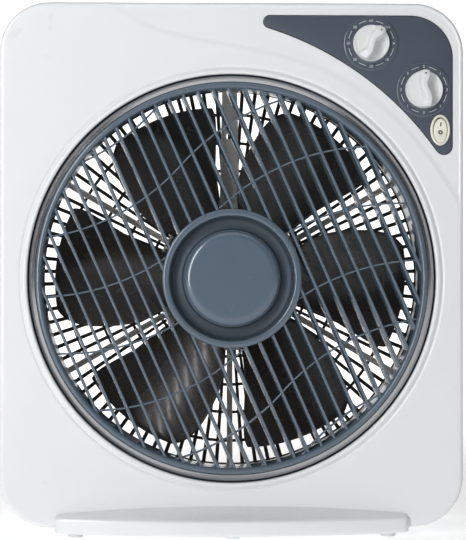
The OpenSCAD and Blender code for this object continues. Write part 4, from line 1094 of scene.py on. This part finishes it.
# ------------------------------------------------------------------ foot
def make_foot():
    W, out, R = 137.5, 23.0, None
    Rl = (W * W + 18 * 18) / 36.0
    yc = -(YF - out) - Rl

    def half_depth(x, inset=0.0):
        """How far the foot reaches from the middle plane at x."""
        return yc + math.sqrt(max(0.0, (Rl - inset) ** 2 - x * x))

    def crown(x):
        return 23.0 - 1590 + math.sqrt(1590.0 ** 2 - x * x)

    n = 96
    sections = []
    xs = []
    for i in range(n + 1):
        s = -1 + 2 * i / n
        xs.append(W * math.sin(s * pi / 2) * 0.35 + W * s * 0.65)
    ends = 4.0
    for x in xs:
        e = W - abs(x)
        # rounded ends: the section shrinks over the last few millimetres
        q = 1.0 if e > ends else math.sqrt(max(0.0, 1 - ((ends - e) / ends) ** 2))
        D = half_depth(x) - (1 - q) * ends
        H = crown(x)
        slope = math.tan(math.radians(19))
        lobe = D - 55.2
        h0 = H - slope * lobe
        z0 = 2.5 + (1 - q) * 3.0
        top = H - (1 - q) * 3.0
        edge = h0 - (1 - q) * 3.0
        # front lobe as a closed section: bottom, face, rounded brow, slope, back
        sec = fillet([(-55.0, z0), (-D + 1.2, z0, 1.2), (-D, z0 + 2.0, 2.0), (-D, edge - 1.0, 2.6), (-D + 3.2, edge + 0.9, 3.0), (-55.15, top)], seg=5, closed=False)
        sections.append([(x, y, z) for y, z in sec])
    front = loft(sections, cap0=True, cap1=True)
    back = ([(x, -y, z) for x, y, z in front[0]], front[1])
    # floor plate between the lobes
    pl = []
    for x in xs:
        D = 55.0
        e = W - abs(x)
        q = 1.0 if e > 3 else math.sqrt(max(0.0, 1 - ((3 - e) / 3) ** 2))
        pl.append([(x, -D, 2.5 + (1 - q)), (x, D, 2.5 + (1 - q)), (x, D, 4.9 - (1 - q)), (x, -D, 4.9 - (1 - q))])
    plate = loft(pl, cap0=True, cap1=True)
    ob = build("foot_moulding", join(front, back, plate), M["foot"], sharp=36)
    bore = build("bore", z_cyl(5.5, 0.0, 12.0, 0, -66.5, 48), M["foot"])
    cut(ob, bore, sharp=36)
    settle(ob, "housing", ["foot_base"])
    pads = []
    for x in (-121, 121):
        for y in (-56, 56):
            p = fillet([(0.0, 0.0), (5.7, 0.0, 0.5), (6.1, 1.4, 0.5), (6.1, 2.6, 0.0), (0.0, 2.6)], seg=4, closed=False)
            pads.append(spin_z(p, x, y, 48))
    build("foot_pad_set", join(*pads), M["pad"], "housing", ["foot_pads"], sharp=45)
    p = fillet([(0.0, 0.0), (4.9, 0.0, 1.1), (5.3, 2.0, 1.0), (5.3, 8.3, 0.3), (7.2, 8.5, 0.2), (7.2, 9.0, 0.2), (1.8, 9.1, 0.2), (1.8, 10.5, 0.4), (0.0, 10.5)], seg=4, closed=False)
    build("tip_pin_body", spin_z(p, 0, -66.5, 48), M["pad"], "tip_pin", ["tip_plunger"], sharp=45)


def spin_z(profile, x, y, n):
    """Turns a profile of (radius, z) about a vertical axis."""
    ts = [2 * pi * i / n for i in range(n)]
    return loft([[(x + r * math.cos(t), y + r * math.sin(t), z) for t in ts] for r, z in profile])


def z_cyl(r, z0, z1, x, y, n=32):
    return spin_z([(0.0, z0), (r, z0), (r, z1), (0.0, z1)], x, y, n)


def make_foot_screws():
    heads, shanks = [], []
    for x in (-100, 100):
        for y in (-30, 30):
            heads.append(spin_z([(0.0, 0.72), (1.6, 0.74), (2.5, 0.95), (3.0, 1.4), (3.2, 2.0), (3.2, 2.45), (0.0, 2.45)], x, y, 32))
            prof = [(0.0, 2.3)]
            zz = 2.4
            while zz < 11.6:
                prof += [(1.25, zz), (1.5, zz + 0.35), (1.25, zz + 0.7)]
                zz += 0.75
            prof.append((0.0, 12.3))
            shanks.append(spin_z(prof, x, y, 16))
    ob = build("foot_screw_heads", join(*heads), M["screw"], sharp=45)
    cross = []
    for x in (-100, 100):
        for y in (-30, 30):
            for k in (0, 1):
                L, W = (1.9, 0.42) if k == 0 else (0.42, 1.9)
                v = [(x + a * L, y + b * W, z) for z in (0.2, 1.5) for a, b in ((-1, -1), (1, -1), (1, 1), (-1, 1))]
                cross.append((v, [(0, 1, 2, 3), (4, 5, 6, 7), (0, 1, 5, 4), (1, 2, 6, 5), (2, 3, 7, 6), (3, 0, 4, 7)]))
    cut(ob, build("fk0", join(*cross[0::2]), M["screw"]), build("fk1", join(*cross[1::2]), M["screw"]), sharp=40)
    settle(ob, "housing", ["foot_screws"])
    build("foot_screw_shanks", join(*shanks), M["screw"], "housing", sharp=60)


def make_inlet():
    """Gland for the mains lead: stepped sleeve with rings, open bore."""
    p = [(3.8, 48.2), (5.8, 48.0), (6.0, 48.3), (6.0, 48.6), (7.6, 48.6), (8.0, 48.9), (8.0, 51.6), (7.7, 51.9), (6.05, 51.9), (6.05, 55.1), (8.4, 55.1), (8.75, 55.4), (8.8, 55.9), (8.6, 56.3),
         (8.1, 56.5), (7.2, 56.6), (7.0, 56.9), (7.0, 57.2), (6.6, 57.45), (6.1, 57.5), (6.0, 57.8), (6.0, 58.1), (5.7, 58.5), (5.0, 58.95), (4.4, 59.0), (4.0, 58.85), (3.8, 58.5)]
    build("cord_gland", revolve(p, 64, 135, 52), M["rubber"], "housing", ["cord_inlet"], sharp=50)


make_front_shell()
make_rear_shell()
make_grille()
make_fan()
make_bracket()
make_guard()
make_screws("shell_screw_heads", [(-150, 32), (150, 32), (-150, 388), (150, 388), (-169, 282), (169, 282)], -7.4, 3.6, 2.6, ["shell_screws"], -38.5, 1.6)
make_screws("guard_screw_heads", [pol(166.6, a) for a in (45, 135, 225, 315)], 58.8, 3.0, 1.7, ["guard_screws"], 48.6, 1.5)
make_panel()
make_knob("timer_knob_cap", TIMER, 14.1, 37.0, "timer_dial", "timer_knob")
make_knob("speed_knob_cap", SPEED, 14.5, 0.0, "speed_dial", "speed_knob")
make_rocker()
make_foot()
make_foot_screws()
make_inlet()

# CAD nodes that stay as they are get their finish here
FINISH = {"motor_front_bell": "zinc", "motor_rear_bell": "zinc", "stator_core": "core", "stator_windings": "copper", "front_bearing": "bronze", "rear_bearing": "bronze",
          "motor_screws": "screw", "motor_shaft": "shaft", "rotor_core": "core", "guide_roller_top": "acetal", "guide_roller_left": "acetal", "guide_roller_right": "acetal",
          "guide_roller_pins": "shaft", "drive_wheel": "acetal", "drive_tyre": "rubber", "swing_motor_shaft": "shaft", "swing_motor": "zinc", "swing_motor_screws": "screw",
          "timer_body": "dark_body", "timer_spindle": "acetal", "speed_switch": "dark_body", "speed_spindle": "acetal", "run_capacitor": "case", "terminal_block": "case",
          "tip_switch": "dark_body"}
for name, ob in NODES.items():
    if name in FINISH:
        ob.data.materials.clear()
        ob.data.materials.append(M[FINISH[name]])

# ------------------------------------------------------------------ stage
def stage_material(name, base, glow):
    m = Mat(name, rough=0.75, spec=0.2)
    m.color(m.ramp(m.noise(3.0, 2.0, 0.5), [(0.3, tuple(c * 0.995 for c in base)), (0.7, base)]))
    m.b.inputs["Emission Color"].default_value = (1, 1, 1, 1)
    xyz = m.node("ShaderNodeSeparateXYZ")
    m.link(m.co, xyz.inputs[0])
    far = m.node("ShaderNodeMapRange")
    far.inputs["From Min"].default_value, far.inputs["From Max"].default_value = 0.35, 1.1
    far.inputs["To Min"].default_value, far.inputs["To Max"].default_value = glow, 0.95
    m.link(xyz.outputs["Y"], far.inputs["Value"])
    m.link(far.outputs["Result"], m.b.inputs["Emission Strength"])
    return m.m


def make_stage():
    # one sheet: floor, soft cove, back wall
    prof = [(-3.2, 0.0)]
    prof += [(2.6, 0.0)]
    for k in range(1, 13):
        t = pi / 2 * k / 12
        prof.append((2.6 + 0.8 * math.sin(t), 0.8 * (1 - math.cos(t))))
    prof.append((3.4, 3.4))
    v, f = [], []
    for y, z in prof:
        v += [(-4.0, y, z - 0.0002), (4.0, y, z - 0.0002)]
    for i in range(len(prof) - 1):
        f.append((2 * i, 2 * i + 1, 2 * i + 3, 2 * i + 2))
    me = bpy.data.meshes.new("stage_sheet")
    me.from_pydata(v, [], f)
    me.polygons.foreach_set("use_smooth", [True] * len(me.polygons))
    me.materials.append(stage_material("pale_sheet", (0.86, 0.86, 0.86), 0.45))
    ob = bpy.data.objects.new("stage_sheet", me)
    bpy.context.scene.collection.objects.link(ob)


def area(name, loc, target, size, power, color=(1, 1, 1), size_y=None):
    li = bpy.data.lights.new(name, "AREA")
    li.shape = "RECTANGLE"
    li.size = size
    li.size_y = size_y or size
    li.energy = power
    li.color = color
    ob = bpy.data.objects.new(name, li)
    ob.location = loc
    ob.rotation_euler = (Vector(target) - Vector(loc)).to_track_quat("-Z", "Y").to_euler()
    bpy.context.scene.collection.objects.link(ob)
    return ob


make_stage()
area("key_left", (-1.02, -1.60, 0.50), (0.0, -0.05, 0.21), 0.34, 22.5, (1.0, 1.0, 1.0), 1.5)
area("top_soft", (0.0, -0.85, 1.62), (0.0, 0.0, 0.3), 1.7, 5.0, (1.0, 1.0, 1.0), 1.0)
area("front_fill", (0.0, -3.2, 0.5), (0.0, 0.0, 0.2), 2.0, 1.5, (0.99, 0.995, 1.0), 1.6)
world = bpy.data.worlds.new("studio")
bpy.context.scene.world = world
world.use_nodes = True
world.node_tree.nodes["Background"].inputs["Color"].default_value = (0.95, 0.97, 1.0, 1.0)
world.node_tree.nodes["Background"].inputs["Strength"].default_value = 0.12
bpy.context.scene.view_settings.view_transform = "Standard"
bpy.context.scene.view_settings.look = "None"

# ------------------------------------------------------------------ camera
cam = bpy.data.cameras.new("camera")
cam.lens = 104.18
cam.sensor_width = 36.0
cam.clip_start, cam.clip_end = 0.05, 20.0
cob = bpy.data.objects.new("camera", cam)
yaw, pitch, roll = -0.0210, -0.0015, -0.0002
rot = Matrix.Rotation(yaw, 3, "Z") @ Matrix.Rotation(pitch, 3, "X") @ Matrix.Rotation(roll, 3, "Y")
right, ahead, up = rot @ Vector((1, 0, 0)), rot @ Vector((0, 1, 0)), rot @ Vector((0, 0, 1))
cob.matrix_world = Matrix(((right.x, up.x, -ahead.x, -0.0247), (right.y, up.y, -ahead.y, -1.2664), (right.z, up.z, -ahead.z, 0.2079), (0, 0, 0, 1)))
bpy.context.scene.collection.objects.link(cob)
bpy.context.scene.camera = cob
